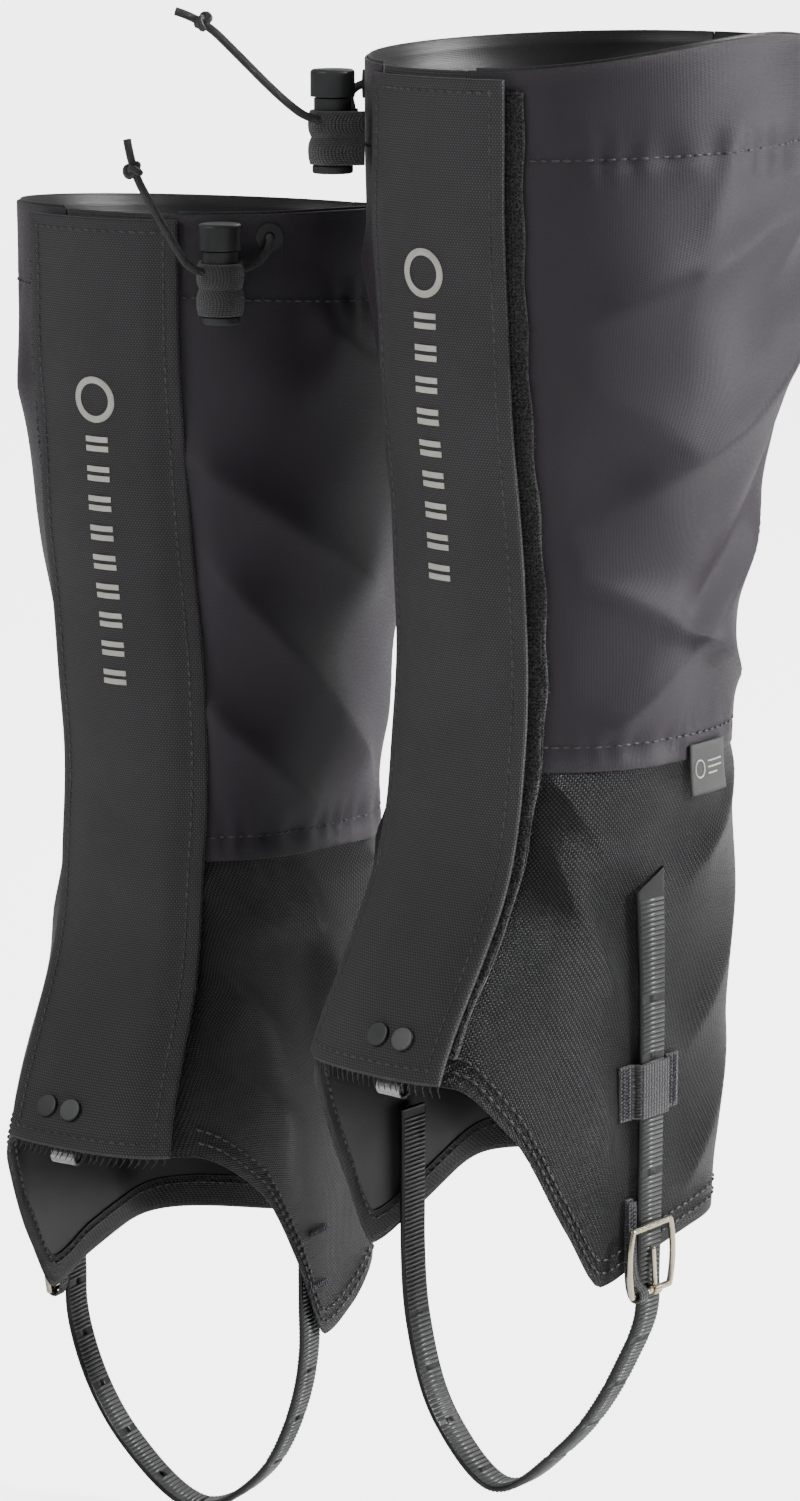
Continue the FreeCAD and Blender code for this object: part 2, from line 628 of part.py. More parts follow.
def inner_face_x():
    """Inside face of the inner panel where the strap's sewn end lies."""
    angle = side_angle(-STRAP_FORWARD, -BUCKLE_DEPTH, inner=True)
    return on_section("left", angle, -BUCKLE_DEPTH).x + FABRIC


def prong_hole(side):
    z = -BUCKLE_DEPTH + PRONG_REACH
    x = outer_face_x()
    return at_hem(side, cylinder(1.7, 12, Vector(x - 3, -STRAP_FORWARD, z), Vector(1, 0, 0)))


def swing_room(side):
    """Round space, about the line that the loop swings on, for the loop's rounded ends."""
    start = Vector(-2 * RIM_RADIUS, -STRAP_FORWARD, -PIVOT_DEPTH)
    return at_hem(side, cylinder(STRAP_WIDTH / 2 + BODY_GAP, 4 * RIM_RADIUS, start, Vector(1, 0, 0)))


def strap_tail(side):
    """Free end of the strap, up the outside of the lower panel to the keeper and past it."""
    heights = (-STRAP_TAIL_TOP_DEPTH, -PIVOT_DEPTH + PIVOT_CLEAR)
    lifts = (STRAP_LIFT, STRAP_LIFT + STRAP_THICKNESS)
    tail = patch(side, strap_edges(STRAP_WIDTH / 2), heights, lifts, 4, 11)
    return {"strap_tail": tail.cut(prong_hole(side)).cut(swing_room(side))}


def strap_keeper(side):
    high = STRAP_LIFT + STRAP_THICKNESS + 0.3

    def inner(u):
        edge = (KEEPER_WIDTH - STRAP_WIDTH - 2.0) / 2 / KEEPER_WIDTH
        t = min(max(min(u, 1 - u) / edge, 0.0), 1.0)
        rise = min(max((t - 0.45) / 0.5, 0.0), 1.0)
        return KEEPER_GAP + (high - KEEPER_GAP) * rise * rise * (3 - 2 * rise)

    def outer(u):
        return inner(u) + 1.1

    heights = (-KEEPER_DEPTH, -KEEPER_DEPTH - KEEPER_HEIGHT)
    return {"strap_keeper": patch(side, strap_edges(KEEPER_WIDTH / 2), heights, (inner, outer), 25, 4)}


def ribbon(points, width, thickness, y):
    """Band of even thickness along a curve in an X-Z plane, its width along Y."""
    curve = Part.BSplineCurve()
    curve.interpolate([Vector(x, y - width / 2, z) for x, z in points])
    first, last = curve.FirstParameter, curve.LastParameter
    steps = 24
    rails = []
    for sign in (-1, 1):
        rail = []
        for i in range(steps + 1):
            parameter = first + (last - first) * i / steps
            tangent = curve.tangent(parameter)[0]
            normal = Vector(-tangent.z, 0, tangent.x)
            rail.append(curve.value(parameter) + normal * (sign * thickness / 2))
        spline = Part.BSplineCurve()
        spline.interpolate(rail)
        rails.append(spline)
    low, high = rails
    ends = [Part.LineSegment(low.value(low.FirstParameter), high.value(high.FirstParameter)),
            Part.LineSegment(low.value(low.LastParameter), high.value(high.LastParameter))]
    wire = Part.Wire(Part.__sortEdges__([low.toShape(), high.toShape(), ends[0].toShape(), ends[1].toShape()]))
    return Part.Face(wire).extrude(Vector(0, width, 0))


def strap_loop(side):
    """The strap under the foot, hung between the buckle and its sewn inner end."""
    outer_x = outer_face_x() + STRAP_LIFT + STRAP_THICKNESS / 2
    inner_x = inner_face_x() + HEM_GAP + HEM_FACING + 2 * LAYER_GAP + STRAP_THICKNESS / 2
    outer_z = inner_z = -PIVOT_DEPTH
    middle_x = (outer_x + inner_x) / 2
    droop = -HANG[side]["droop"]
    lean = HANG[side]["lean"]
    points = [(outer_x, outer_z)]
    for start_x, (share, inset, leaning) in zip((outer_x, outer_x, middle_x, inner_x, inner_x), LOOP_SHAPE):
        points.append((start_x + inset - leaning * lean, outer_z - share * (outer_z - droop)))
    points.append((inner_x, inner_z))
    loop = ribbon(points, STRAP_WIDTH, STRAP_THICKNESS, -STRAP_FORWARD)
    ears = [cylinder(STRAP_WIDTH / 2, STRAP_THICKNESS, Vector(x - STRAP_THICKNESS / 2, -STRAP_FORWARD, outer_z),
                     Vector(1, 0, 0)) for x in (outer_x, inner_x)]
    end = box(inner_x - STRAP_THICKNESS / 2, inner_x + STRAP_THICKNESS / 2,
              -STRAP_FORWARD - STRAP_WIDTH / 2, -STRAP_FORWARD + STRAP_WIDTH / 2,
              -PIVOT_DEPTH + PIVOT_CLEAR, -INNER_END_DEPTH)
    print("%s strap pivot: (%.2f, %.2f, %.2f) to (%.2f, %.2f, %.2f) before the foot's turn"
          % (side, outer_x, -STRAP_FORWARD, outer_z, inner_x, -STRAP_FORWARD, inner_z))
    return {"strap_loop": at_hem(side, fused([loop] + ears)),
            "strap_inner_end": at_hem(side, end).cut(swing_room(side))}


def buckle(side):
    """Wire frame round the strap, its prong, and the webbing tab that holds its lower bar."""
    lift = STRAP_LIFT + STRAP_THICKNESS + 2.3
    x = outer_face_x() + lift
    rear = -STRAP_FORWARD + STRAP_WIDTH / 2 + 0.6 + BUCKLE_WIRE / 2
    inner_width = STRAP_WIDTH + 1.2 + BUCKLE_TAB_WIDTH + 0.6
    front = rear - inner_width - BUCKLE_WIRE
    low = -BUCKLE_DEPTH
    high = low + BUCKLE_HEIGHT
    bow = 1.6
    radius = BUCKLE_WIRE / 2
    corners = [Vector(x, front, low), Vector(x, rear, low), Vector(x, rear, high), Vector(x, front, high)]
    wires = [cylinder(radius, rear - front, corners[0], Vector(0, 1, 0)),
             cylinder(radius, rear - front, corners[3], Vector(0, 1, 0))]
    for y, sign in ((front, -1), (rear, 1)):
        arc = Part.Arc(Vector(x, y, low), Vector(x, y + sign * bow, (low + high) / 2), Vector(x, y, high)).toShape()
        profile = Part.Wire([Part.Circle(Vector(x, y, low), arc.tangentAt(arc.FirstParameter), radius).toShape()])
        wires.append(Part.Wire([arc]).makePipeShell([profile], True, False))
    wires += [Part.makeSphere(radius, corner) for corner in corners]
    frame = fused(wires)

    middle = -STRAP_FORWARD
    sleeve = cylinder(2.0, 3.2, Vector(x, middle - 1.6, low), Vector(0, 1, 0))
    tip = Vector(x - 1.0, middle, low + PRONG_REACH)
    shaft = cylinder(0.9, (tip - Vector(x, middle, low)).Length, Vector(x, middle, low), tip - Vector(x, middle, low))
    point = fused([cylinder(0.9, 2.2, tip, Vector(-1, 0, 0)), Part.makeSphere(0.9, tip)])
    prong = fused([sleeve, shaft, point]).cut(
        cylinder(radius + 0.2, 12, Vector(x, middle - 6, low), Vector(0, 1, 0)))

    tab_rear = -STRAP_FORWARD - STRAP_WIDTH / 2 - 0.5
    tab_front = tab_rear - BUCKLE_TAB_WIDTH
    face = outer_face_x()
    plate = box(face + 0.5, face + 1.7, tab_front, tab_rear, low - 1.5, low + 33.0)
    eye = cylinder(radius + 1.5, BUCKLE_TAB_WIDTH, Vector(x, tab_front, low), Vector(0, 1, 0))
    web = box(face + 1.0, x, tab_front, tab_rear, low - 1.4, low + 1.4)
    tab = fused([plate, eye, web]).cut(
        cylinder(radius + 0.3, 12, Vector(x, tab_front - 3, low), Vector(0, 1, 0)))
    print("%s buckle bar: x %.2f, z %.2f before the foot's turn" % (side, x, low))
    return {"buckle_frame": at_hem(side, frame), "buckle_prong": at_hem(side, prong),
            "buckle_tab": at_hem(side, tab)}


def side_label(side):
    heights = (-MID_SEAM_DEPTH - 1.0, -MID_SEAM_DEPTH - 17.0)
    return {"side_label": patch(side, (84.0, 103.0), heights, (0.4, 1.2), 4, 4)}


# ---- the pair ----------------------------------------------------------------------------------------
def gaiter(side):
    pieces = {}
    for make in (panels, facings, placket, loop_strip, front_flap, flap_mark, snaps, lace_hook, cord_lock,
                 cord_and_eyelet, strap_tail, strap_keeper, strap_loop, buckle, side_label):
        pieces.update(make(side))
    return pieces


def placed(side, shape):
    if side == "left":
        return shape
    mirrored = shape.mirror(Vector(0, 0, 0), Vector(1, 0, 0))
    mirrored.translate(Vector(-PAIR_SPACING, 0, -PAIR_DROP))
    return mirrored


def main():
    os.makedirs("parts", exist_ok=True)
    for side in ("left", "right"):
        for name, shape in gaiter(side).items():
            node = placed(side, shape)
            if not node.isValid() or node.Volume <= 0 or not node.Solids:
                print("CHECK", side, name, node.isValid(), node.Volume, len(node.Solids))
            node.exportStep("parts/%s_%s.step" % (side, name))


main()
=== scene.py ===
import math
import bpy
import numpy as np
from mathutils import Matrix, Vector


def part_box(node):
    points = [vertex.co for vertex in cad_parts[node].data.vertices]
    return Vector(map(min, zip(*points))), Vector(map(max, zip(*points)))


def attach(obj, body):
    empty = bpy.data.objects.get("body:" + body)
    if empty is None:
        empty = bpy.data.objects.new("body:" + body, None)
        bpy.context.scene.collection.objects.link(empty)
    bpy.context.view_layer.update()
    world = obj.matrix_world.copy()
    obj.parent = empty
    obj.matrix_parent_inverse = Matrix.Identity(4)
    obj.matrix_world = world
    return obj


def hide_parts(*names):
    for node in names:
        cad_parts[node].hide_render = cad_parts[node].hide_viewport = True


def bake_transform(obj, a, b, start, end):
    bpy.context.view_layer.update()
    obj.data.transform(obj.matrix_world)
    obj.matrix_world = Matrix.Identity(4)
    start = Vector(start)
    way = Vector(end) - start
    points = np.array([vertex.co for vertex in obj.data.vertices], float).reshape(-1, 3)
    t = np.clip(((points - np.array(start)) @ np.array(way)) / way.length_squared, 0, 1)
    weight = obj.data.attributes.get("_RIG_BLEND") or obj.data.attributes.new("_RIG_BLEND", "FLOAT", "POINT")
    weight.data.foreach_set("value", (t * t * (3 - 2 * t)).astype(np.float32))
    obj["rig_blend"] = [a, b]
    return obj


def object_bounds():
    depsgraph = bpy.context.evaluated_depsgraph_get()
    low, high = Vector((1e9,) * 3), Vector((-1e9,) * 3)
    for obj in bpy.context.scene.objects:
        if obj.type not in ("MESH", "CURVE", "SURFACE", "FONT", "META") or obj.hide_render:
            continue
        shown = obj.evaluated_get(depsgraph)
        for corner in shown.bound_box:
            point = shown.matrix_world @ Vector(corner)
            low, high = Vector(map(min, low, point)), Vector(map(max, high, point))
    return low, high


bl_info = {
    "name": "Trekking gaiter pair",
    "version": (1, 0, 0),
    "blender": (4, 5, 0),
    "location": "View3D > Sidebar > Gaiters",
    "description": "Builds a pair of tall trekking gaiters round their CAD frame",
    "category": "Add Mesh",
}

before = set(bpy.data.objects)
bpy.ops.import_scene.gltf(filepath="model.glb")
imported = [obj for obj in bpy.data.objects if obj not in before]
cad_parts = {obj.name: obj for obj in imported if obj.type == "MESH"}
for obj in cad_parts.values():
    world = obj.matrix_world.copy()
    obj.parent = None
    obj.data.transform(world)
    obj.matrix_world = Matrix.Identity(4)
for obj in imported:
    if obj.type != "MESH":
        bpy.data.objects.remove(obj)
CAD_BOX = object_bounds()

MM = 0.001
SIDES = ("left", "right")
PAIR_SPACING = 164.0
PAIR_DROP = 54.0

# Leg tube in millimetres: depth, half width, front reach, back reach, squareness, inward shift.
STATIONS = (
    (0.0, 74.0, 72.0, 74.0, 2.0, 0.0),
    (50.0, 73.0, 72.0, 73.0, 2.0, 0.0),
    (110.0, 68.0, 68.0, 67.0, 2.0, 0.0),
    (170.0, 58.0, 62.0, 50.0, 2.1, 2.0),
    (225.0, 54.0, 62.0, 48.0, 2.3, 3.0),
    (270.0, 54.0, 70.0, 48.0, 2.6, 3.0),
    (325.0, 54.0, 103.0, 38.0, 2.9, 3.0),
    (430.0, 53.0, 128.0, 26.0, 3.0, 3.0),
)
FOOT_TURN = {"left": 0.0, "right": 9.0}
INNER_TIP = {"left": 49.0, "right": 68.0}
OUTER_TIP = {"left": 47.0, "right": 49.0}
DROOP = {"left": -498.0, "right": -488.0}
LEAN = {"left": 13.0, "right": 4.0}
RIM_RISE = {"left": 6.0, "right": -8.0}
SIDE_RISE = {"left": (8.0, 85.0), "right": (4.0, -95.0)}
LOOP_SHAPE = ((0.28, -3.0, 0.45), (0.72, -20.0, 1.0), (1.0, 0.0, 1.0), (0.76, 23.0, 0.6), (0.34, 5.8, 0.25))
SEAM_Z = -225.0
HEM_ARCH = 328.0
FLAP_INNER, FLAP_OUTER = -37.0, 22.5
FLAP_TOP, FLAP_END = -3.0, -330.0
FLAP_FABRIC = 1.5
STRAP_Y = -27.0
STRAP_WIDTH = 12.7
PIVOT_Z = -418.0
BUCKLE_Z = -411.0
LOCK_ANGLE = -42.0
HOLE_TURN = -42.0
EYELET_ANGLE = -55.0
FABRIC_LAYER = 1.0
PLACKET_OVERLAP = 15.0       # how far the placket's edge lies behind the flap's
HIGH_SIDE_SPREAD = 42.0      # degrees over which the rim falls off from its high side

# Holes of the strap, and the keeper and label that are sewn on the boot panel, in millimetres.
FIRST_HOLE, LAST_HOLE, HOLE_PITCH = 44.0, 330.0, 20.3
HOLE_SIDES = 14
STRAP_THICKNESS = 1.7
INNER_STRAP_DEPTH = 4.1      # middle of the sewn end behind the panel's outer face
KEEPER_TOP, KEEPER_END = -331.0, -350.0
TAB_WIDTH = 4.4
LABEL_ANGLE, LABEL_SPREAD = 83.0, 21.0
LABEL_TOP, LABEL_DROP = -226.0, 17.5

# Elastic band round the cord lock: half width, and how far back its ends are sewn.
ELASTIC_HALF_WIDTH, ELASTIC_DEPTH = 6.9, 9.6


# ---- the leg tube as a surface -----------------------------------------------------------------------
def smooth_through(knots, x, monotone=False):
    """Values at x of a smooth curve through the (x, value) knots."""
    xs, ys = (np.array(c, float) for c in zip(*knots))
    widths, slopes = np.diff(xs), np.diff(ys) / np.diff(xs)
    p, q = slopes[:-1], slopes[1:]
    if monotone:
        inner = np.where(p * q > 0, 2 * p * q / np.where(p + q == 0, 1, p + q), 0.0)
    else:
        inner = (p * widths[1:] + q * widths[:-1]) / (widths[:-1] + widths[1:])
    tangents = np.concatenate([[0.0], inner, [slopes[-1]]])
    x = np.clip(x, xs[0], xs[-1])
    i = np.clip(np.searchsorted(xs, x, side="right") - 1, 0, len(widths) - 1)
    w = widths[i]
    t = (x - xs[i]) / w
    return ((1 + 2 * t) * (1 - t) ** 2 * ys[i] + t * (1 - t) ** 2 * w * tangents[i]
            + t * t * (3 - 2 * t) * ys[i + 1] + t * t * (t - 1) * w * tangents[i + 1])


def on_section(side, angle, z):
    """Points of the tube, in millimetres, at angles from the front that grow towards the outer side."""
    angle, z = np.broadcast_arrays(np.asarray(angle, float), np.asarray(z, float))
    half_width, front, back, squareness, shift = (
        smooth_through([(s[0], s[k]) for s in STATIONS], -z) for k in range(1, 6))
    s, c = np.sin(np.radians(angle)), np.cos(np.radians(angle))
    reach = np.where(c > 0, front, back)
    r = ((np.abs(s) / half_width) ** squareness + (np.abs(c) / reach) ** squareness) ** (-1 / squareness)
    x, y = r * s - shift, -r * c
    turn = np.radians(-smooth_through([(225.0, 0.0), (330.0, FOOT_TURN[side])], -z))
    return np.stack([x * np.cos(turn) - y * np.sin(turn), x * np.sin(turn) + y * np.cos(turn), z], -1)


def unit(v):
    return v / np.maximum(np.linalg.norm(v, axis=-1, keepdims=True), 1e-9)


def outward(side, angle, z):
    across = on_section(side, np.add(angle, 0.5), z) - on_section(side, np.subtract(angle, 0.5), z)
    along = on_section(side, angle, np.add(z, 0.5)) - on_section(side, angle, np.subtract(z, 0.5))
    return unit(np.cross(across, along))


def solve_angle(measure, target, low, high):
    """Angles between low and high at which a growing measure reaches the target."""
    low, high = np.full(np.shape(target), low), np.full(np.shape(target), high)
    for _ in range(26):
        middle = (low + high) / 2
        less = measure(middle) < target
        low, high = np.where(less, middle, low), np.where(less, high, middle)
    return low


def front_angle(x, z):
    x, z = np.broadcast_arrays(np.asarray(x, float), np.asarray(z, float))
    return solve_angle(lambda a: on_section("left", a, z)[..., 0], x, -85.0, 85.0)


def side_angle(y, z, inner=False):
    y, z = np.broadcast_arrays(np.asarray(y, float), np.asarray(z, float))
    if inner:
        return -solve_angle(lambda a: on_section("left", -a, z)[..., 1], y, 20.0, 150.0)
    return solve_angle(lambda a: on_section("left", a, z)[..., 1], y, 20.0, 150.0)


def tunnel_seam_z(side, angle):
    return -29.0 + RIM_RISE[side] / 2 * (1 - np.cos(np.radians(angle)))


def rim_z(side, angle):
    rise, middle = SIDE_RISE[side]
    return tunnel_seam_z(side, angle) + 28.0 + rise * np.exp(-((angle - middle) / HIGH_SIDE_SPREAD) ** 2)


def hem_z(side, angle):
    angle = np.asarray(angle, float)
    depths = []
    for tip, tip_depth in ((INNER_TIP[side], 413.0), (OUTER_TIP[side], 406.0)):
        depths.append(smooth_through(
            [(0.0, HEM_ARCH), (0.34 * tip, HEM_ARCH + 1.5), (0.57 * tip, HEM_ARCH + 19.0),
             (0.79 * tip, HEM_ARCH + 54.0), (tip, tip_depth), (tip + 18.0, tip_depth - 6.0),
             (110.0, 393.0), (180.0, 388.0)], np.abs(angle), monotone=True))
    return -np.where(angle > 0, depths[1], depths[0])


# Folds of the cloth: (angle, height) of both ends, half width and height in millimetres.
UPPER_FOLDS = {
    "left": (
        (128, -8, 104, -52, 9, 2.6), (150, -24, 112, -88, 12, 3.2), (122, -34, 50, -74, 11, 2.6),
        (150, -70, 62, -132, 13, 4.0), (128, -112, 84, -176, 10, -2.6), (122, -150, 52, -214, 11, 4.2),
        (96, -196, 128, -212, 7, 3.2), (34, -164, 92, -192, 8, 2.2), (140, -128, 152, -190, 12, 3.0),
        (78, -20, 70, -58, 9, 1.2), (-60, -70, -130, -150, 14, 3.0), (-70, -150, -128, -200, 12, 2.6),
        (175, -40, 168, -150, 13, 2.4), (-160, -60, -150, -170, 12, 2.6), (30, -96, 60, -116, 10, 1.2),
    ),
    "right": (
        (-30, -84, -86, -128, 13, 3.6), (-46, -134, -96, -196, 14, 4.0), (-34, -176, -66, -206, 9, 2.4),
        (-62, -30, -104, -70, 12, 2.4), (30, -60, 100, -120, 13, 3.0), (60, -140, 128, -200, 13, 3.2),
        (150, -50, 140, -170, 13, 2.6), (-150, -60, -160, -180, 13, 2.6), (-110, -100, -130, -190, 12, 2.2),
    ),
}
# Where the cloth lies tight over the leg, as an angle.
OUTLINE_ANGLE = {"left": 134.0, "right": 54.0}
LOWER_FOLDS = {
    "left": (
        (34, -236, 62, -276, 8, 2.2), (30, -254, 58, -318, 9, 2.4), (26, -288, 48, -352, 8, 1.8),
        (126, -236, 96, -262, 9, 2.4), (128, -272, 96, -318, 10, 2.0), (120, -330, 92, -372, 9, 1.6),
        (-30, -250, -64, -300, 10, 2.4), (-40, -310, -80, -350, 10, 2.0), (-120, -250, -140, -330, 12, 2.4),
        (160, -250, 170, -340, 12, 2.2),
    ),
    "right": (
        (-32, -240, -64, -268, 9, 3.0), (-28, -262, -60, -306, 9, 2.6), (-30, -300, -60, -340, 9, 2.2),
        (-70, -250, -92, -318, 10, 2.4), (-104, -240, -130, -300, 12, 2.4), (34, -250, 60, -310, 9, 2.2),
        (110, -250, 100, -330, 10, 1.8), (160, -250, 170, -340, 12, 2.2),
    ),
}


FOLD_GAIN = {True: 1.45, False: 1.6}


def fade(value, start, end):
    """0 before start, 1 after end, smooth between."""
    t = np.clip((value - start) / (end - start), 0, 1)
    return t * t * (3 - 2 * t)


def folds(side, angle, z):
    """How far the cloth stands off the tube, in millimetres."""
    arc = angle * 1.13
    total = np.zeros(np.shape(arc))
    for upper, ridges in ((True, UPPER_FOLDS[side]), (False, LOWER_FOLDS[side])):
        part = np.zeros(np.shape(arc))
        for a0, z0, a1, z1, width, height in ridges:
            start, run = np.array([a0 * 1.13, z0]), np.array([(a1 - a0) * 1.13, z1 - z0])
            length = np.hypot(*run)
            t = ((arc - start[0]) * run[0] + (z - start[1]) * run[1]) / length ** 2
            c = np.clip(t, 0, 1)
            off = ((arc - start[0]) * run[1] - (z - start[1]) * run[0]) / length
            past = (t - c) * length
            sharp = width * np.where(off > 0, 0.62, 1.15)
            part += FOLD_GAIN[upper] * height * np.exp(-np.abs(off / sharp) ** 1.25 - (past / 16.0) ** 2)
        kept = fade(z, SEAM_Z, SEAM_Z + 12) if upper else fade(-z, 2 - SEAM_Z, 14 - SEAM_Z)
        total += part * kept
    drift = np.zeros(np.shape(arc))
    for k, (fa, fz, phase) in enumerate(((0.071, 0.043, 0.3), (-0.048, 0.088, 1.9), (0.11, -0.065, 4.1),
                                         (0.021, 0.132, 2.2), (0.152, 0.11, 5.3))):
        drift += np.sin(fa * arc + fz * z + phase + (1.3 if side == "right" else 0)) / (1 + 0.4 * k)
    total += 0.42 * drift
    for seam in (tunnel_seam_z(side, angle), SEAM_Z + 2.5):
        off = z - seam
        total += 0.5 * np.sin(arc * 0.62 + 2.0 * np.sin(arc * 0.13)) * np.exp(-(off / 6.5) ** 2)
        total -= 0.55 * np.exp(-(off / 1.4) ** 2)
    calm = fade(np.abs(angle), 26, 40) * fade(-z, 1, 18)
    near_hem = fade(z - hem_z(side, angle), 0, 26)
    strap = 1 - (1 - fade(np.abs(on_section("left", angle, z)[..., 1] - STRAP_Y), 9, 24)) * fade(-z, 250, 268)
    label = 1 - (1 - fade(np.abs(angle - 93), 10, 22)) * (1 - fade(np.abs(z + 234), 12, 24))
    lock = 1 - (1 - fade(np.abs(angle + 48), 14, 26)) * (1 - fade(-z, 44, 70))
    outline = 1 - 0.8 * np.exp(-((angle - OUTLINE_ANGLE[side]) / 20.0) ** 2)
    return total * calm * near_hem * strap * label * lock * outline


def cloth(side, angle, z, lift=0.0):
    """Points on the folded cloth at a lift outwards, in millimetres."""
    angle, z = np.broadcast_arrays(np.asarray(angle, float), np.asarray(z, float))
    return on_section(side, angle, z) + outward(side, angle, z) * (
        np.asarray(lift, float) + folds(side, angle, z))[..., None]


def turned(side, points):
    """Points built in the unturned foot's frame, turned with the foot."""
    points = np.array(points, float)
    turn = math.radians(-FOOT_TURN[side])
    x, y = points[..., 0].copy(), points[..., 1].copy()
    points[..., 0] = x * math.cos(turn) - y * math.sin(turn)
    points[..., 1] = x * math.sin(turn) + y * math.cos(turn)
    return points


def place(side, points):
    """Millimetres of a left-built gaiter to metres of the pair's frame."""
    points = np.array(points, float)
    if side == "right":
        points[..., 0] = -points[..., 0] - PAIR_SPACING
        points[..., 2] -= PAIR_DROP
    return points * MM


# ---- meshes ------------------------------------------------------------------------------------------
def link(name, data, materials=()):
    piece = bpy.data.objects.new(name, data)
    bpy.context.scene.collection.objects.link(piece)
    for material in materials:
        data.materials.append(material)
    return piece


def mesh_piece(name, points, faces, materials, uv=None, edge=None, index=None, smooth=True):
    """Object from points in metres; uv and edge hold one value a point."""
    data = bpy.data.meshes.new(name)
    data.from_pydata([tuple(p) for p in points], [], faces)
    if smooth:
        data.polygons.foreach_set("use_smooth", [True] * len(data.polygons))
    corners = np.zeros(len(data.loops), np.int32)
    data.loops.foreach_get("vertex_index", corners)
    if uv is not None:
        layer = data.uv_layers.new(name="UVMap")
        layer.data.foreach_set("uv", np.asarray(uv, np.float32)[corners].ravel())
    if edge is not None:
        data.attributes.new("edge", "FLOAT", "POINT").data.foreach_set("value", np.asarray(edge, np.float32))
    piece = link(name, data, materials)
    if index is not None:
        data.polygons.foreach_set("material_index", index)
    data.update()
    return piece


def grid_faces(rows, columns, start=0, flip=False, closed=False):
    faces = []
    for r in range(rows - 1):
        for c in range(columns if closed else columns - 1):
            d = (c + 1) % columns
            quad = (start + r * columns + c, start + (r + 1) * columns + c,
                    start + (r + 1) * columns + d, start + r * columns + d)
            faces.append(quad[::-1] if flip else quad)
    return faces


def slab(name, side, outer, inner, materials, uv=None, inner_index=0):
    """Closed piece between an outer and an inner grid of points (rows go down, columns outwards)."""
    rows, columns = outer.shape[:2]
    count = rows * columns
    mirrored = side == "right"
    faces = grid_faces(rows, columns, 0, mirrored) + grid_faces(rows, columns, count, not mirrored)
    index = [0] * ((rows - 1) * (columns - 1)) + [inner_index] * ((rows - 1) * (columns - 1))
    ring = ([(0, c) for c in range(columns)] + [(r, columns - 1) for r in range(1, rows)]
            + [(rows - 1, c) for c in range(columns - 2, -1, -1)] + [(r, 0) for r in range(rows - 2, 0, -1)])
    ring = [r * columns + c for r, c in ring]
    for a, b in zip(ring, ring[1:] + ring[:1]):
        quad = (a, b, b + count, a + count)
        faces.append(quad[::-1] if mirrored else quad)
        index.append(0)
    points = place(side, np.concatenate([outer.reshape(-1, 3), inner.reshape(-1, 3)]))
    if uv is None:
        across = np.cumsum(np.linalg.norm(np.diff(outer, axis=1), axis=2), 1)
        across = np.concatenate([np.zeros((rows, 1)), across], 1)
        down = np.cumsum(np.linalg.norm(np.diff(outer, axis=0), axis=2), 0)
        down = np.concatenate([np.zeros((1, columns)), down], 0)
        across -= across.mean()
        uv = np.stack([across, -down], -1).reshape(-1, 2) * MM
    r, c = np.meshgrid(np.arange(rows), np.arange(columns), indexing="ij")
    near = np.minimum(np.minimum(r, rows - 1 - r), np.minimum(c, columns - 1 - c)).reshape(-1)
    edge = np.clip(1 - near / 2.0, 0, 1)
    return mesh_piece(name, points, faces, materials, np.concatenate([uv, uv]), np.concatenate([edge, edge]), index)


def rounded_share(count, run, radius):
    """Shares of a run, with extra ones near both ends, and how full a rounded edge is at each."""
    near = np.array([0.0, 0.12, 0.35, 0.7, 1.0]) * radius
    middle = np.linspace(radius, run - radius, count)[1:-1]
    at = np.concatenate([near, middle, run - near[::-1]])
    from_edge = np.minimum(at, run - at)
    full = np.sqrt(np.clip(1 - (1 - np.clip(from_edge / radius, 0, 1)) ** 2, 0, 1))
    return at / run, full


def edges_at(edges, where):
    """Both edges of a patch, each a number or a function of the other direction."""
    return [edge(where) if callable(edge) else edge for edge in edges]


def patch_grid(angles, heights, shares_u, shares_v):
    """Angles and heights of a grid between two side edges and a top and a bottom edge."""
    v = shares_v[:, None] * np.ones(len(shares_u))
    u = shares_u[None, :] * np.ones((len(shares_v), 1))
    top, low = edges_at(heights, 0.0)
    z = top + v * (low - top)
    for _ in range(4):
        start, end = edges_at(angles, z)
        angle = start + u * (end - start)
        top, low = edges_at(heights, angle)
        z = top + v * (low - top)
    return angle, z


def baked(piece):
    """The piece with its modifiers worked into a plain mesh."""
    evaluated = piece.evaluated_get(bpy.context.evaluated_depsgraph_get())
    data = bpy.data.meshes.new_from_object(evaluated)
    data.name = piece.name
    piece.modifiers.clear()
    if piece.type == "MESH":
        piece.data = data
        return piece
    name = piece.name
    bpy.data.objects.remove(piece)
    return link(name, data)


def finish_piece(piece, body, slot_name, *nodes):
    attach(piece, body)
    if nodes:
        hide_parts(*nodes)
    return piece


# ---- shader helpers ----------------------------------------------------------------------------------
class Shader:
    """Short way to lay out nodes of one tree."""

    def __init__(self, tree):
        self.tree = tree

    def node(self, kind, **inputs):
        settings = inputs.pop("settings", {})
        made = self.tree.nodes.new(kind)
        for key, setting in settings.items():
            setattr(made, key, setting)
        for key, given in inputs.items():
            socket = made.inputs[int(key[1:])] if key[0] == "_" else made.inputs[key.replace("_", " ")]
            if isinstance(given, bpy.types.NodeSocket):
                self.tree.links.new(given, socket)
            else:
                socket.default_value = given
        return made

    def math(self, operation, a, b=0.0, c=0.0):
        return self.node("ShaderNodeMath", settings={"operation": operation}, _0=a, _1=b, _2=c).outputs[0]

    def mix(self, factor, a, b):
        return self.node("ShaderNodeMix", settings={"data_type": "RGBA"}, _0=factor, _6=a, _7=b).outputs[2]

    def noise(self, vector, scale, detail=3.0, roughness=0.55):
        return self.node("ShaderNodeTexNoise", Vector=vector, Scale=scale, Detail=detail,
                         Roughness=roughness).outputs["Fac"]

    def spread(self, value, low, high, to_low, to_high):
        return self.node("ShaderNodeMapRange", _0=value, _1=low, _2=high, _3=to_low, _4=to_high).outputs[0]


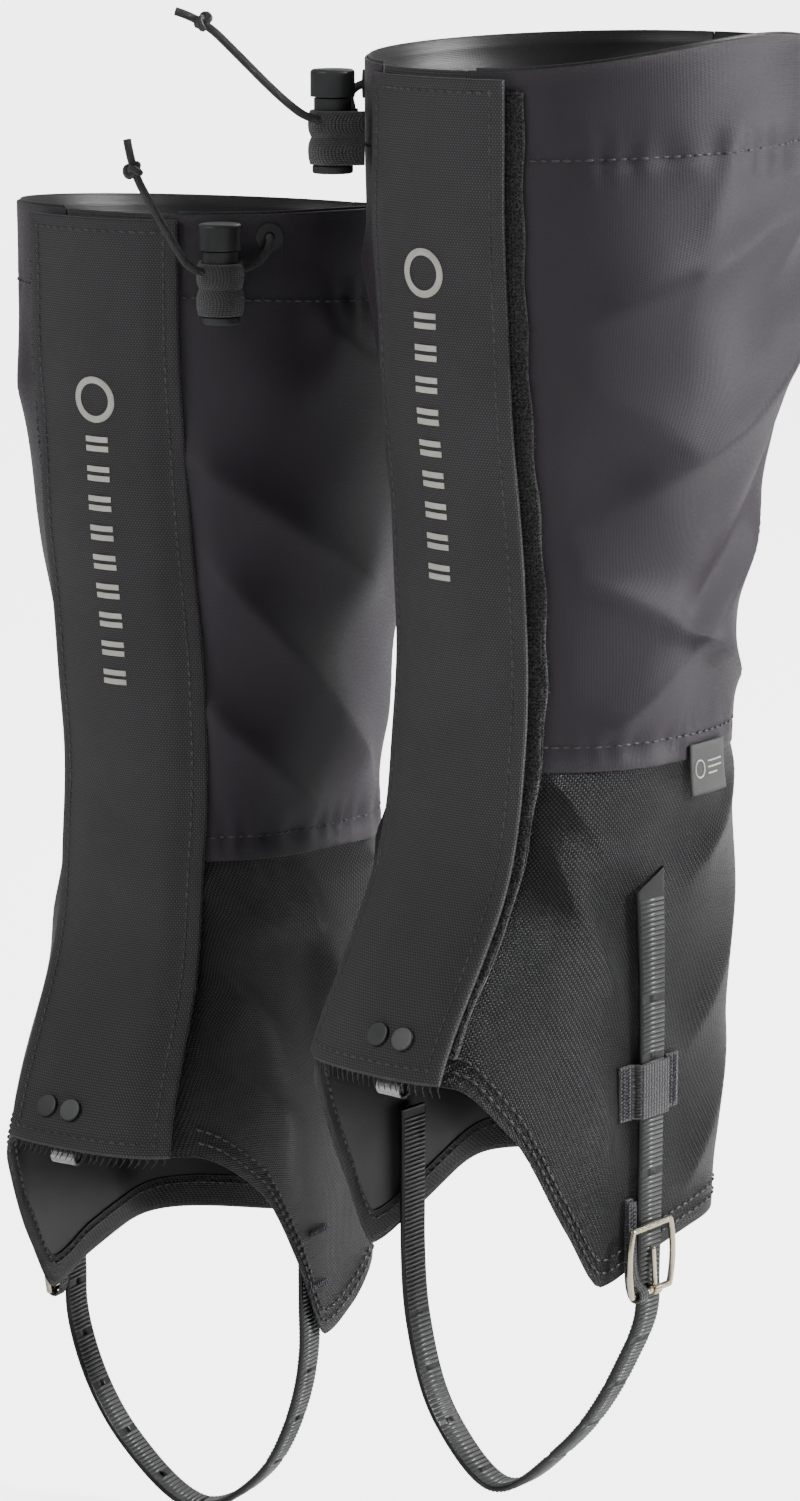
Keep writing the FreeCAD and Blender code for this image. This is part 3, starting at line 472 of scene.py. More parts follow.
def new_group(name, inputs, outputs):
    group = bpy.data.node_groups.new(name, "ShaderNodeTree")
    for label, kind, default in inputs:
        socket = group.interface.new_socket(label, in_out="INPUT", socket_type=kind)
        if default is not None:
            socket.default_value = default
    for label, kind in outputs:
        group.interface.new_socket(label, in_out="OUTPUT", socket_type=kind)
    shader = Shader(group)
    entry = group.nodes.new("NodeGroupInput")
    leave = group.nodes.new("NodeGroupOutput")
    return group, shader, entry.outputs, leave


def weave_group():
    """Threads that pass over and under each other: their height, and a mask of the raised warp floats that the
    cloth's colour uses as a painted highlight.
    """
    group, s, given, leave = new_group(
        "Plain weave", [("Vector", "NodeSocketVector", None), ("Warp pitch", "NodeSocketFloat", 0.001),
                        ("Weft pitch", "NodeSocketFloat", 0.001), ("Wander", "NodeSocketFloat", 0.0)],
        [("Height", "NodeSocketFloat"), ("Warp highlight", "NodeSocketFloat")])
    parts = s.node("ShaderNodeSeparateXYZ", Vector=given["Vector"])
    drift = s.math("MULTIPLY", s.math("SUBTRACT", s.noise(given["Vector"], 60.0), 0.5), given["Wander"])
    x = s.math("DIVIDE", s.math("ADD", parts.outputs[0], drift), given["Warp pitch"])
    y = s.math("DIVIDE", s.math("ADD", parts.outputs[1], drift), given["Weft pitch"])
    round_x = s.math("ABSOLUTE", s.math("SINE", s.math("MULTIPLY", x, math.pi)))
    round_y = s.math("ABSOLUTE", s.math("SINE", s.math("MULTIPLY", y, math.pi)))
    parity = s.math("FLOORED_MODULO", s.math("ADD", s.math("FLOOR", x), s.math("FLOOR", y)), 2.0)
    over = s.math("MULTIPLY", parity, s.math("MULTIPLY", round_x, s.math("POWER", round_y, 0.5)))
    under = s.math("MULTIPLY", s.math("SUBTRACT", 1.0, parity),
                   s.math("MULTIPLY", round_y, s.math("POWER", round_x, 0.5)))
    s.tree.links.new(s.math("ADD", over, under), leave.inputs["Height"])
    # The warp-float mask goes to the cloth's colour as a painted highlight.
    s.tree.links.new(over, leave.inputs["Warp highlight"])
    return group


def grain_group():
    """Soft colour change over tens of millimetres and a fine grain."""
    group, s, given, leave = new_group(
        "Cloth grain", [("Vector", "NodeSocketVector", None), ("Grain size", "NodeSocketFloat", 0.0006),
                        ("Patch size", "NodeSocketFloat", 0.03)],
        [("Grain", "NodeSocketFloat"), ("Patches", "NodeSocketFloat")])
    fine = s.noise(given["Vector"], s.math("DIVIDE", 1.0, given["Grain size"]), 2.0, 0.6)
    broad = s.noise(given["Vector"], s.math("DIVIDE", 1.0, given["Patch size"]), 4.0, 0.6)
    s.tree.links.new(fine, leave.inputs["Grain"])
    s.tree.links.new(broad, leave.inputs["Patches"])
    return group


def wear_group():
    """Dusty, rubbed edges: where the edge attribute and a broken noise meet."""
    group, s, given, leave = new_group(
        "Edge wear", [("Vector", "NodeSocketVector", None), ("Edge", "NodeSocketFloat", 0.0),
                      ("Amount", "NodeSocketFloat", 0.5)], [("Wear", "NodeSocketFloat")])
    broken = s.spread(s.noise(given["Vector"], 900.0, 4.0, 0.7), 0.35, 0.7, 0.0, 1.0)
    s.tree.links.new(s.math("MULTIPLY", s.math("MULTIPLY", given["Edge"], broken), given["Amount"]),
                     leave.inputs["Wear"])
    return group


GROUPS = {}
MATERIALS = {}


def group_node(s, name, **inputs):
    made = s.tree.nodes.new("ShaderNodeGroup")
    made.node_tree = GROUPS[name]
    for key, given in inputs.items():
        socket = made.inputs[key.replace("_", " ")]
        if isinstance(given, bpy.types.NodeSocket):
            s.tree.links.new(given, socket)
        else:
            socket.default_value = given
    return made.outputs


def start_material(name, **settings):
    material = bpy.data.materials.new(name)
    material.use_nodes = True
    principled = material.node_tree.nodes["Principled BSDF"]
    for key, given in settings.items():
        principled.inputs[key.replace("_", " ")].default_value = given
    MATERIALS[name] = material
    return Shader(material.node_tree), principled


def colour(r, g, b):
    return (r, g, b, 1.0)


def woven(name, base, light, warp, weft, depth, rough, patch=0.03, wander=0.0, worn=0.35, highlight_share=0.25,
          fine=0.0005, **settings):
    """Cloth with threads that show: colour, roughness and bump from the weave, the grain and the wear; the weave's
    colour is painted shade in the gaps between threads and a painted highlight on the raised warp floats.
    """
    s, principled = start_material(name, **settings)
    uv = s.node("ShaderNodeUVMap", settings={"uv_map": "UVMap"}).outputs[0]
    threads = group_node(s, "weave", Vector=uv, Warp_pitch=warp, Weft_pitch=weft, Wander=wander)
    grain = group_node(s, "grain", Vector=uv, Grain_size=fine, Patch_size=patch)
    edge = s.node("ShaderNodeAttribute", settings={"attribute_name": "edge"}).outputs["Fac"]
    wear = group_node(s, "wear", Vector=uv, Edge=edge, Amount=worn)
    # Painted shade and highlight: thread height and the warp floats make the colour darker in the gaps between
    # threads and lighter on the raised warp.
    blend = s.math("MULTIPLY", threads["Height"], 1.0 - highlight_share)
    blend = s.math("ADD", blend, s.math("MULTIPLY", threads["Warp highlight"], highlight_share))
    blend = s.math("MULTIPLY", blend, s.spread(grain["Patches"], 0.3, 0.7, 0.7, 1.0))
    tone = s.mix(s.spread(blend, 0.1, 0.9, 0.0, 1.0), colour(*base), colour(*light))
    tone = s.mix(wear["Wear"], tone, colour(0.16, 0.155, 0.15))
    s.tree.links.new(tone, principled.inputs["Base Color"])
    s.tree.links.new(s.math("ADD", s.spread(grain["Grain"], 0.3, 0.7, rough - 0.07, rough + 0.09),
                            s.math("MULTIPLY", wear["Wear"], 0.3)), principled.inputs["Roughness"])
    height = s.math("ADD", threads["Height"], s.math("MULTIPLY", grain["Grain"], 0.35))
    bump = s.node("ShaderNodeBump", Strength=1.0, Distance=depth, Height=height)
    s.tree.links.new(bump.outputs[0], principled.inputs["Normal"])


def moulded(name, base, light, rough, depth, scale, **settings):
    """Plastic, rubber or metal: a fine surface grain and a broad change of tone."""
    s, principled = start_material(name, **settings)
    place_on = s.node("ShaderNodeTexCoord").outputs["Object"]
    grain = group_node(s, "grain", Vector=place_on, Grain_size=scale, Patch_size=0.02)
    tone = s.mix(s.spread(grain["Patches"], 0.3, 0.7, 0.0, 1.0), colour(*base), colour(*light))
    s.tree.links.new(tone, principled.inputs["Base Color"])
    s.tree.links.new(s.spread(grain["Grain"], 0.3, 0.7, rough - 0.06, rough + 0.08), principled.inputs["Roughness"])
    bump = s.node("ShaderNodeBump", Strength=1.0, Distance=depth, Height=grain["Grain"])
    s.tree.links.new(bump.outputs[0], principled.inputs["Normal"])


def braided(name, base, light, pitch, rough, **settings):
    """Cord or thread on its own u (round) and v (along) map: strands that cross on a slant."""
    s, principled = start_material(name, **settings)
    uv = s.node("ShaderNodeUVMap", settings={"uv_map": "UVMap"}).outputs[0]
    parts = s.node("ShaderNodeSeparateXYZ", Vector=uv)
    a = s.math("ADD", s.math("MULTIPLY", parts.outputs[0], 8.0), s.math("MULTIPLY", parts.outputs[1], pitch))
    b = s.math("SUBTRACT", s.math("MULTIPLY", parts.outputs[0], 8.0), s.math("MULTIPLY", parts.outputs[1], pitch))
    high = s.math("MAXIMUM", s.math("ABSOLUTE", s.math("SINE", s.math("MULTIPLY", a, math.pi / 2))),
                  s.math("ABSOLUTE", s.math("SINE", s.math("MULTIPLY", b, math.pi / 2))))
    # Painted shade: the colour is lighter on the strand crests and darker in the grooves between strands.
    s.tree.links.new(s.mix(s.spread(high, 0.6, 1.0, 0.0, 1.0), colour(*base), colour(*light)),
                     principled.inputs["Base Color"])
    s.tree.links.new(s.spread(high, 0.6, 1.0, rough + 0.1, rough - 0.08), principled.inputs["Roughness"])
    bump = s.node("ShaderNodeBump", Strength=1.0, Distance=0.0003, Height=high)
    s.tree.links.new(bump.outputs[0], principled.inputs["Normal"])


def make_materials(colours):
    GROUPS.update(weave=weave_group(), grain=grain_group(), wear=wear_group())
    upper, lower, flap = colours.upper[:3], colours.lower[:3], colours.flap[:3]
    # Each woven cloth's base and light colours are its painted shade between threads and its painted highlight on
    # raised threads, around the cloth's own colour.
    woven("Soft shell cloth", [c * 0.6 for c in upper], [c * 2.2 for c in upper], 0.0005, 0.0005, 0.00009, 0.4,
          patch=0.045, wander=0.00015, worn=0.2, highlight_share=0.3, fine=0.0012, Sheen_Weight=0.1, Sheen_Roughness=0.3,
          Sheen_Tint=colour(0.8, 0.7, 0.74), Specular_IOR_Level=0.5)
    woven("Ballistic cloth", [c * 0.15 for c in lower], [c * 7.5 for c in lower], 0.00085, 0.00085, 0.0005, 0.33,
          patch=0.05, wander=0.00008, worn=0.25, highlight_share=0.85, Specular_IOR_Level=0.5)
    woven("Pack cloth", [c * 0.5 for c in flap], [c * 2.2 for c in flap], 0.0005, 0.00085, 0.00018, 0.56,
          patch=0.06, wander=0.00006, worn=0.55, highlight_share=0.5, Sheen_Weight=0.03, Specular_IOR_Level=0.25)
    woven("Coated lining", (0.012, 0.012, 0.013), (0.03, 0.03, 0.032), 0.0006, 0.0006, 0.00003, 0.36,
          patch=0.02, worn=0.3, Specular_IOR_Level=0.3)
    woven("Loop pile", (0.008, 0.008, 0.009), (0.03, 0.03, 0.032), 0.0012, 0.0012, 0.0006, 0.8,
          wander=0.0008, worn=0.0, Sheen_Weight=0.5)
    woven("Herringbone elastic", (0.012, 0.012, 0.013), (0.07, 0.07, 0.072), 0.0012, 0.0007, 0.0004, 0.6,
          wander=0.00005, worn=0.2, Sheen_Weight=0.3)
    woven("Twill webbing", (0.016, 0.016, 0.018), (0.085, 0.083, 0.09), 0.0014, 0.0011, 0.0005, 0.52,
          wander=0.00008, worn=0.4, Sheen_Weight=0.2)
    woven("Label cloth", (0.05, 0.052, 0.052), (0.1, 0.1, 0.098), 0.0005, 0.0005, 0.00008, 0.6, worn=0.4)
    moulded("Sewing thread", (0.03, 0.03, 0.032), (0.085, 0.085, 0.088), 0.45, 0.00005, 0.0002)
    moulded("Embroidery thread", tuple(colours.mark[:3]), (0.7, 0.69, 0.63), 0.42, 0.00008, 0.00025,
            Sheen_Weight=0.3, Specular_IOR_Level=0.6)
    moulded("Bartack thread", (0.03, 0.028, 0.045), (0.08, 0.075, 0.1), 0.45, 0.00005, 0.0002)
    moulded("Pile hair", (0.006, 0.006, 0.007), (0.02, 0.02, 0.022), 0.75, 0.00002, 0.0003, Sheen_Weight=0.4)
    moulded("Strap urethane", (0.007, 0.0075, 0.0075), (0.016, 0.0165, 0.0165), 0.4, 0.00004, 0.0006,
            Specular_IOR_Level=0.4)
    # Painted highlight: the ribs are the strap's own urethane, given a far lighter colour so that each rib reads as
    # lit.
    moulded("Strap ribs", (0.06, 0.063, 0.0615), (0.105, 0.109, 0.106), 0.32, 0.00004, 0.0006,
            Specular_IOR_Level=0.55, Coat_Weight=0.15, Coat_Roughness=0.3)
    moulded("Lock plastic", (0.018, 0.019, 0.02), (0.035, 0.036, 0.038), 0.42, 0.00006, 0.0005)
    moulded("Snap enamel", (0.02, 0.021, 0.022), (0.045, 0.046, 0.047), 0.38, 0.00004, 0.0006,
            Metallic=0.4, Coat_Weight=0.3)
    moulded("Buckle nickel", (0.62, 0.55, 0.42), (0.78, 0.71, 0.57), 0.2, 0.00003, 0.0012, Metallic=1.0)
    moulded("Spring steel", (0.4, 0.4, 0.4), (0.55, 0.55, 0.54), 0.3, 0.00003, 0.0008, Metallic=1.0)
    braided("Braided cord", (0.006, 0.006, 0.007), (0.035, 0.035, 0.036), 500.0, 0.5, Sheen_Weight=0.2)


# ---- geometry node trees -----------------------------------------------------------------------------
def node_tree(name, numbers):
    tree = bpy.data.node_groups.new(name, "GeometryNodeTree")
    tree.interface.new_socket("Path", in_out="INPUT", socket_type="NodeSocketGeometry")
    for label, default in numbers:
        socket = tree.interface.new_socket(label, in_out="INPUT", socket_type="NodeSocketFloat")
        socket.default_value = default
    tree.interface.new_socket("Material", in_out="INPUT", socket_type="NodeSocketMaterial")
    tree.interface.new_socket("Geometry", in_out="OUTPUT", socket_type="NodeSocketGeometry")
    shader = Shader(tree)
    return tree, shader, tree.nodes.new("NodeGroupInput").outputs, tree.nodes.new("NodeGroupOutput")


def close_tree(s, geometry, given, leave):
    real = s.node("GeometryNodeRealizeInstances", _0=geometry)
    smooth = s.node("GeometryNodeSetShadeSmooth", _0=real.outputs[0])
    painted = s.node("GeometryNodeSetMaterial", _0=smooth.outputs[0])
    s.tree.links.new(given["Material"], painted.inputs["Material"])
    s.tree.links.new(painted.outputs[0], leave.inputs[0])


def stitch_tree():
    """Short rounded stitches at an even pitch along a path."""
    tree, s, given, leave = node_tree("Stitch row", [("Pitch", 0.0032), ("Length", 0.0024), ("Thickness", 0.0006)])
    curve = s.node("GeometryNodeMeshToCurve", _0=given["Path"])
    spaced = s.node("GeometryNodeResampleCurve", _0=curve.outputs[0], settings={"mode": "LENGTH"})
    s.tree.links.new(given["Pitch"], spaced.inputs["Length"])
    ball = s.node("GeometryNodeMeshUVSphere", Segments=6, Rings=5, Radius=0.5)
    tangent = s.node("GeometryNodeInputTangent")
    turn = s.node("FunctionNodeAlignRotationToVector", settings={"axis": "X"})
    s.tree.links.new(tangent.outputs[0], turn.inputs["Vector"])
    size = s.node("ShaderNodeCombineXYZ", X=given["Length"], Y=given["Thickness"], Z=given["Thickness"])
    row = s.node("GeometryNodeInstanceOnPoints", Points=spaced.outputs[0], Instance=ball.outputs[0],
                 Rotation=turn.outputs[0], Scale=size.outputs[0])
    close_tree(s, row.outputs[0], given, leave)
    return tree


def thread_tree():
    """Round thread swept along every path."""
    tree, s, given, leave = node_tree("Thread", [("Thickness", 0.0005)])
    curve = s.node("GeometryNodeMeshToCurve", _0=given["Path"])
    profile = s.node("GeometryNodeCurvePrimitiveCircle", Resolution=6)
    s.tree.links.new(s.math("MULTIPLY", given["Thickness"], 0.5), profile.inputs["Radius"])
    swept = s.node("GeometryNodeCurveToMesh", Curve=curve.outputs[0], Profile_Curve=profile.outputs[0])
    swept.inputs["Fill Caps"].default_value = True
    close_tree(s, swept.outputs[0], given, leave)
    return tree


def hair_tree():
    """Tiny bent hairs spread over a surface."""
    tree, s, given, leave = node_tree("Pile", [("Density", 2.0e6), ("Length", 0.0016), ("Thickness", 0.00014),
                                               ("Lean", 0.9)])
    spread = s.node("GeometryNodeDistributePointsOnFaces", Mesh=given["Path"], Density=given["Density"], Seed=7)
    tip = s.node("ShaderNodeCombineXYZ", X=0.55, Y=0.1, Z=0.8)
    arc = s.node("GeometryNodeCurveQuadraticBezier", Resolution=3, Start=(0.0, 0.0, -0.1), Middle=(0.0, 0.0, 0.75),
                 End=tip.outputs[0])
    profile = s.node("GeometryNodeCurvePrimitiveCircle", Resolution=3)
    s.tree.links.new(s.math("DIVIDE", given["Thickness"], given["Length"]), profile.inputs["Radius"])
    hair = s.node("GeometryNodeCurveToMesh", Curve=arc.outputs[0], Profile_Curve=profile.outputs[0])
    hair.inputs["Fill Caps"].default_value = True
    spin = s.node("FunctionNodeRandomValue", settings={"data_type": "FLOAT_VECTOR"}, Seed=3)
    spin.inputs[0].default_value = (-0.9, -0.9, 0.0)
    spin.inputs[1].default_value = (0.9, 0.9, 6.28)
    lean = s.node("ShaderNodeVectorMath", settings={"operation": "SCALE"}, _0=spin.outputs[0], Scale=given["Lean"])
    turned_by = s.node("FunctionNodeEulerToRotation", _0=lean.outputs[0])
    turn = s.node("FunctionNodeRotateRotation", settings={"rotation_space": "LOCAL"},
                  Rotation=spread.outputs["Rotation"], Rotate_By=turned_by.outputs[0])
    row = s.node("GeometryNodeInstanceOnPoints", Points=spread.outputs[0], Instance=hair.outputs[0],
                 Rotation=turn.outputs[0], Scale=given["Length"])
    close_tree(s, row.outputs[0], given, leave)
    return tree


def rib_tree():
    """Rounded bars across a path, turned by its own face and across vectors."""
    tree, s, given, leave = node_tree("Strap ribs", [("Pitch", 0.0016), ("Width", 0.0104), ("Rib", 0.001),
                                                     ("Height", 0.0005)])
    curve = s.node("GeometryNodeMeshToCurve", _0=given["Path"])
    spaced = s.node("GeometryNodeResampleCurve", _0=curve.outputs[0], settings={"mode": "LENGTH"})
    s.tree.links.new(given["Pitch"], spaced.inputs["Length"])
    bar = s.node("GeometryNodeMeshCylinder", Vertices=8, Radius=0.5, Depth=1.0)
    lie = s.node("GeometryNodeTransform", _0=bar.outputs[0], Rotation=(0.0, math.pi / 2, 0.0))
    face = s.node("GeometryNodeInputNamedAttribute", settings={"data_type": "FLOAT_VECTOR"}, _0="face")
    across = s.node("GeometryNodeInputNamedAttribute", settings={"data_type": "FLOAT_VECTOR"}, _0="across")
    turn = s.node("FunctionNodeAxesToRotation", settings={"primary_axis": "Z", "secondary_axis": "X"})
    s.tree.links.new(face.outputs[0], turn.inputs[0])
    s.tree.links.new(across.outputs[0], turn.inputs[1])
    size = s.node("ShaderNodeCombineXYZ", X=given["Width"], Y=given["Rib"], Z=given["Height"])
    row = s.node("GeometryNodeInstanceOnPoints", Points=spaced.outputs[0], Instance=lie.outputs[0],
                 Rotation=turn.outputs[0], Scale=size.outputs[0])
    close_tree(s, row.outputs[0], given, leave)
    return tree


TREES = {}


def grown(name, side, paths, tree, material, attributes=None, faces=None, **sizes):
    """Mesh that a node tree grows along open paths (lists of points in millimetres) or over faces."""
    points, edges = [], []
    for path in paths:
        start = len(points)
        points.extend(path)
        if faces is None:
            edges.extend((start + i, start + i + 1) for i in range(len(path) - 1))
    data = bpy.data.meshes.new(name)
    data.from_pydata([tuple(p) for p in place(side, points)], edges, faces or [])
    for label, vectors in (attributes or {}).items():
        vectors = np.array(vectors, float)
        if side == "right":
            vectors[:, 0] *= -1
        data.attributes.new(label, "FLOAT_VECTOR", "POINT").data.foreach_set(
            "vector", vectors.astype(np.float32).ravel())
    piece = link(name, data)
    modifier = piece.modifiers.new("Growth", "NODES")
    modifier.node_group = TREES[tree]
    wanted = {"Material": MATERIALS[material], **{k.replace("_", " "): v for k, v in sizes.items()}}
    for item in TREES[tree].interface.items_tree:
        if item.in_out == "INPUT" and item.name in wanted:
            modifier[item.identifier] = wanted[item.name]
    piece = baked(piece)
    for guide in [a for a in piece.data.attributes if a.name in ("face", "across")]:
        piece.data.attributes.remove(guide)
    return piece


# ---- camera and stage --------------------------------------------------------------------------------
class StageSizes(bpy.types.PropertyGroup):
    target: bpy.props.FloatVectorProperty(name="Target", description="Point the camera looks at",
                                          default=(-0.0805, 0.0, -0.247), subtype="XYZ", unit="LENGTH")
    azimuth: bpy.props.FloatProperty(name="Azimuth", description="Camera's direction round the pair",
                                     default=math.radians(40.0), subtype="ANGLE")
    elevation: bpy.props.FloatProperty(name="Elevation", description="Camera's height as an angle",
                                       default=math.radians(12.0), subtype="ANGLE")
    distance: bpy.props.FloatProperty(name="Distance", description="Camera to target", default=1.6, unit="LENGTH")
    lens: bpy.props.FloatProperty(name="Lens", description="Focal length in millimetres", default=71.9)
    fill_light: bpy.props.FloatProperty(name="Fill light", description="Strength of the light from all round",
                                        default=0.26)
    backdrop_glow: bpy.props.FloatProperty(name="Backdrop glow", description="How white the paper looks",
                                           default=4.0)
    floor_gap: bpy.props.FloatProperty(name="Floor gap", description="Floor below the lowest strap",
                                       default=0.004, unit="LENGTH")


class ClothColours(bpy.types.PropertyGroup):
    upper: bpy.props.FloatVectorProperty(name="Upper cloth", description="Soft shell cloth of the leg",
                                         default=(0.0175, 0.0128, 0.0195), subtype="COLOR")
    lower: bpy.props.FloatVectorProperty(name="Lower cloth", description="Coarse cloth round the boot",
                                         default=(0.011, 0.011, 0.0118), subtype="COLOR")
    flap: bpy.props.FloatVectorProperty(name="Flap cloth", description="Ribbed pack cloth of the flap",
                                        default=(0.056, 0.054, 0.057), subtype="COLOR")
    mark: bpy.props.FloatVectorProperty(name="Embroidery", description="Plain mark on the flap",
                                        default=(0.55, 0.54, 0.48), subtype="COLOR")


class StitchSizes(bpy.types.PropertyGroup):
    pitch: bpy.props.FloatProperty(name="Stitch pitch", description="From one stitch to the next",
                                   default=0.0036, unit="LENGTH")
    length: bpy.props.FloatProperty(name="Stitch length", description="Length of one stitch",
                                    default=0.0029, unit="LENGTH")
    thickness: bpy.props.FloatProperty(name="Thread", description="Thickness of the sewing thread",
                                       default=0.00095, unit="LENGTH")
    strap_pitch: bpy.props.FloatProperty(name="Rib pitch", description="From one strap rib to the next",
                                         default=0.0016, unit="LENGTH")


def area_light(name, location, aim, size, power):
    data = bpy.data.lights.new(name, "AREA")
    data.size, data.energy = size, power
    lamp = link(name, data)
    lamp.location = location
    lamp.rotation_euler = (Vector(aim) - Vector(location)).to_track_quat("-Z", "Y").to_euler()
    return lamp


class GAITER_OT_stage(bpy.types.Operator):
    """Camera, pale floor and backdrop, and soft studio light"""
    bl_idname = "gaiter.stage"
    bl_label = "Camera and stage"

    def execute(self, context):
        sizes = context.scene.gaiter_stage
        target = Vector(sizes.target)
        back = Vector((math.sin(sizes.azimuth) * math.cos(sizes.elevation),
                       -math.cos(sizes.azimuth) * math.cos(sizes.elevation), math.sin(sizes.elevation)))
        data = bpy.data.cameras.new("Camera")
        data.sensor_fit, data.sensor_height, data.lens = "VERTICAL", 24.0, sizes.lens
        camera = link("Camera", data)
        camera.location = target + back * sizes.distance
        camera.rotation_euler = (-back).to_track_quat("-Z", "Y").to_euler()
        context.scene.camera = camera

        floor_z = CAD_BOX[0][2] - sizes.floor_gap
        profile = [(-6.0, 0.0), (3.0, 0.0)]
        profile += [(3.0 + 1.5 * math.sin(t), 1.5 - 1.5 * math.cos(t)) for t in np.radians(range(10, 91, 10))]
        profile += [(4.5, 6.0)]
        points = []
        turn = sizes.azimuth
        for x in (-8.0, 8.0):
            for y, up in profile:
                points.append((x * math.cos(turn) - y * math.sin(turn), x * math.sin(turn) + y * math.cos(turn),
                               up + floor_z))
        n = len(profile)
        faces = [(i, i + n, i + n + 1, i + 1) for i in range(n - 1)]
        s, principled = start_material("Backdrop paper", Roughness=0.9)
        at = s.node("ShaderNodeTexCoord").outputs["Object"]
        tone = s.mix(s.noise(at, 3.0), colour(0.9, 0.9, 0.9), colour(0.93, 0.93, 0.93))
        s.tree.links.new(tone, principled.inputs["Base Color"])
        seen = s.node("ShaderNodeLightPath").outputs["Is Camera Ray"]
        glow = s.node("ShaderNodeEmission", Color=colour(1.0, 1.0, 1.0), Strength=sizes.backdrop_glow)
        both = s.node("ShaderNodeAddShader", _0=principled.outputs[0], _1=glow.outputs[0])
        choice = s.node("ShaderNodeMixShader", _0=seen, _1=principled.outputs[0], _2=both.outputs[0])
        s.tree.links.new(choice.outputs[0], s.tree.nodes["Material Output"].inputs["Surface"])
        backdrop = mesh_piece("Backdrop", points, faces, [MATERIALS["Backdrop paper"]])

        world = bpy.data.worlds.new("Studio")
        world.use_nodes = True
        s = Shader(world.node_tree)
        background = world.node_tree.nodes["Background"]
        background.inputs["Color"].default_value = (1.0, 1.0, 1.0, 1.0)
        seen = s.node("ShaderNodeLightPath").outputs["Is Camera Ray"]
        s.tree.links.new(s.spread(seen, 0.0, 1.0, sizes.fill_light, sizes.backdrop_glow),
                         background.inputs["Strength"])
        context.scene.world = world
        area_light("Key", (-0.9, -2.2, 1.5), (-0.08, 0.0, -0.25), 1.2, 30.0)
        area_light("Side", (1.7, 1.2, 0.75), (-0.02, 0.0, -0.15), 0.5, 84.0)
        area_light("Back", (-0.6, 2.2, 1.6), (-0.08, 0.0, -0.2), 1.4, 20.0)
        return {"FINISHED"}


# ---- drawcords ---------------------------------------------------------------------------------------
# Route of each loose end from the middle of the lock's hole: along the hole, outwards, upwards.
TAIL_ROUTE = {
    "left": ((12, 0, 0.2), (15, 8.5, 8), (14, 23, 22), (10, 37.5, 34), (7, 48, 36.5)),
    "right": ((12, 0, 0.2), (20, 1, 11), (29.5, 2, 24.5), (38, 2, 37.5), (40, 1, 47.5)),
}
CORD = 2.8


def lock_axes(side):
    """Centre of the lock in plan, and its along, hole and away directions."""
    centre = on_section(side, LOCK_ANGLE, -3.0) + outward(side, LOCK_ANGLE, -3.0) * 12.0
    heading = outward(side, LOCK_ANGLE, -3.0)
    turn = math.atan2(heading[0], -heading[1])
    along = np.array([math.cos(turn), math.sin(turn), 0.0])
    away = np.array([math.sin(turn), -math.cos(turn), 0.0])
    hole = math.radians(HOLE_TURN)
    hole_way = along * math.cos(hole) - away * math.sin(hole)
    return centre, along, away, hole_way


def tail_points(side):
    centre, along, away, hole = lock_axes(side)
    centre = np.array([centre[0], centre[1], -20.0])
    normal = outward(side, EYELET_ANGLE, -9.0)
    mouth = on_section(side, EYELET_ANGLE, -9.0) + normal * 0.2
    points = [mouth + normal * 0.6, mouth + normal * 6.5 + np.array([0, 0, -2.0]), centre - hole * 14.0]
    for forward, out, up in TAIL_ROUTE[side]:
        points.append(centre + hole * forward + away * out + np.array([0, 0, up]))
    return np.array(points)


def tube_mesh(name, side, line, radius, material, around=12):
    """Tube along points in millimetres, with u round it and v along it in metres."""
    line = np.array(line, float)
    tangents = unit(np.gradient(line, axis=0))
    normal = unit(np.cross(tangents[0], [0.31, 0.2, 0.93]))
    rings, uv = [], []
    run = np.concatenate([[0], np.cumsum(np.linalg.norm(np.diff(line, axis=0), axis=1))])
    for i, (p, t) in enumerate(zip(line, tangents)):
        normal = unit(normal - t * np.dot(normal, t))
        other = np.cross(t, normal)
        for k in range(around):
            a = 2 * math.pi * k / around
            rings.append(p + radius * (normal * math.cos(a) + other * math.sin(a)))
            uv.append((k / around, run[i] * MM))
    faces = grid_faces(len(line), around, 0, side != "right", closed=True)
    ends = [list(range(around)), list(range((len(line) - 1) * around, len(line) * around))]
    if side == "right":
        faces += [tuple(ends[0]), tuple(ends[1][::-1])]
    else:
        faces += [tuple(ends[0][::-1]), tuple(ends[1])]
    return mesh_piece(name, place(side, rings), faces, [MATERIALS[material]], uv)


def knot_line(centre, heading, size, turns=40):
    """Overhand knot pulled tight round a heading."""
    heading = unit(np.array(heading))
    side_way = unit(np.cross(heading, [0.2, 0.3, 0.9]))
    up = np.cross(heading, side_way)
    t = np.linspace(0, 2 * math.pi, turns, endpoint=False)
    x = np.sin(t) + 2 * np.sin(2 * t)
    y = np.cos(t) - 2 * np.cos(2 * t)
    w = -np.sin(3 * t)
    return centre + size * (x[:, None] * side_way / 3 + y[:, None] * up / 3 + w[:, None] * heading * 0.45)


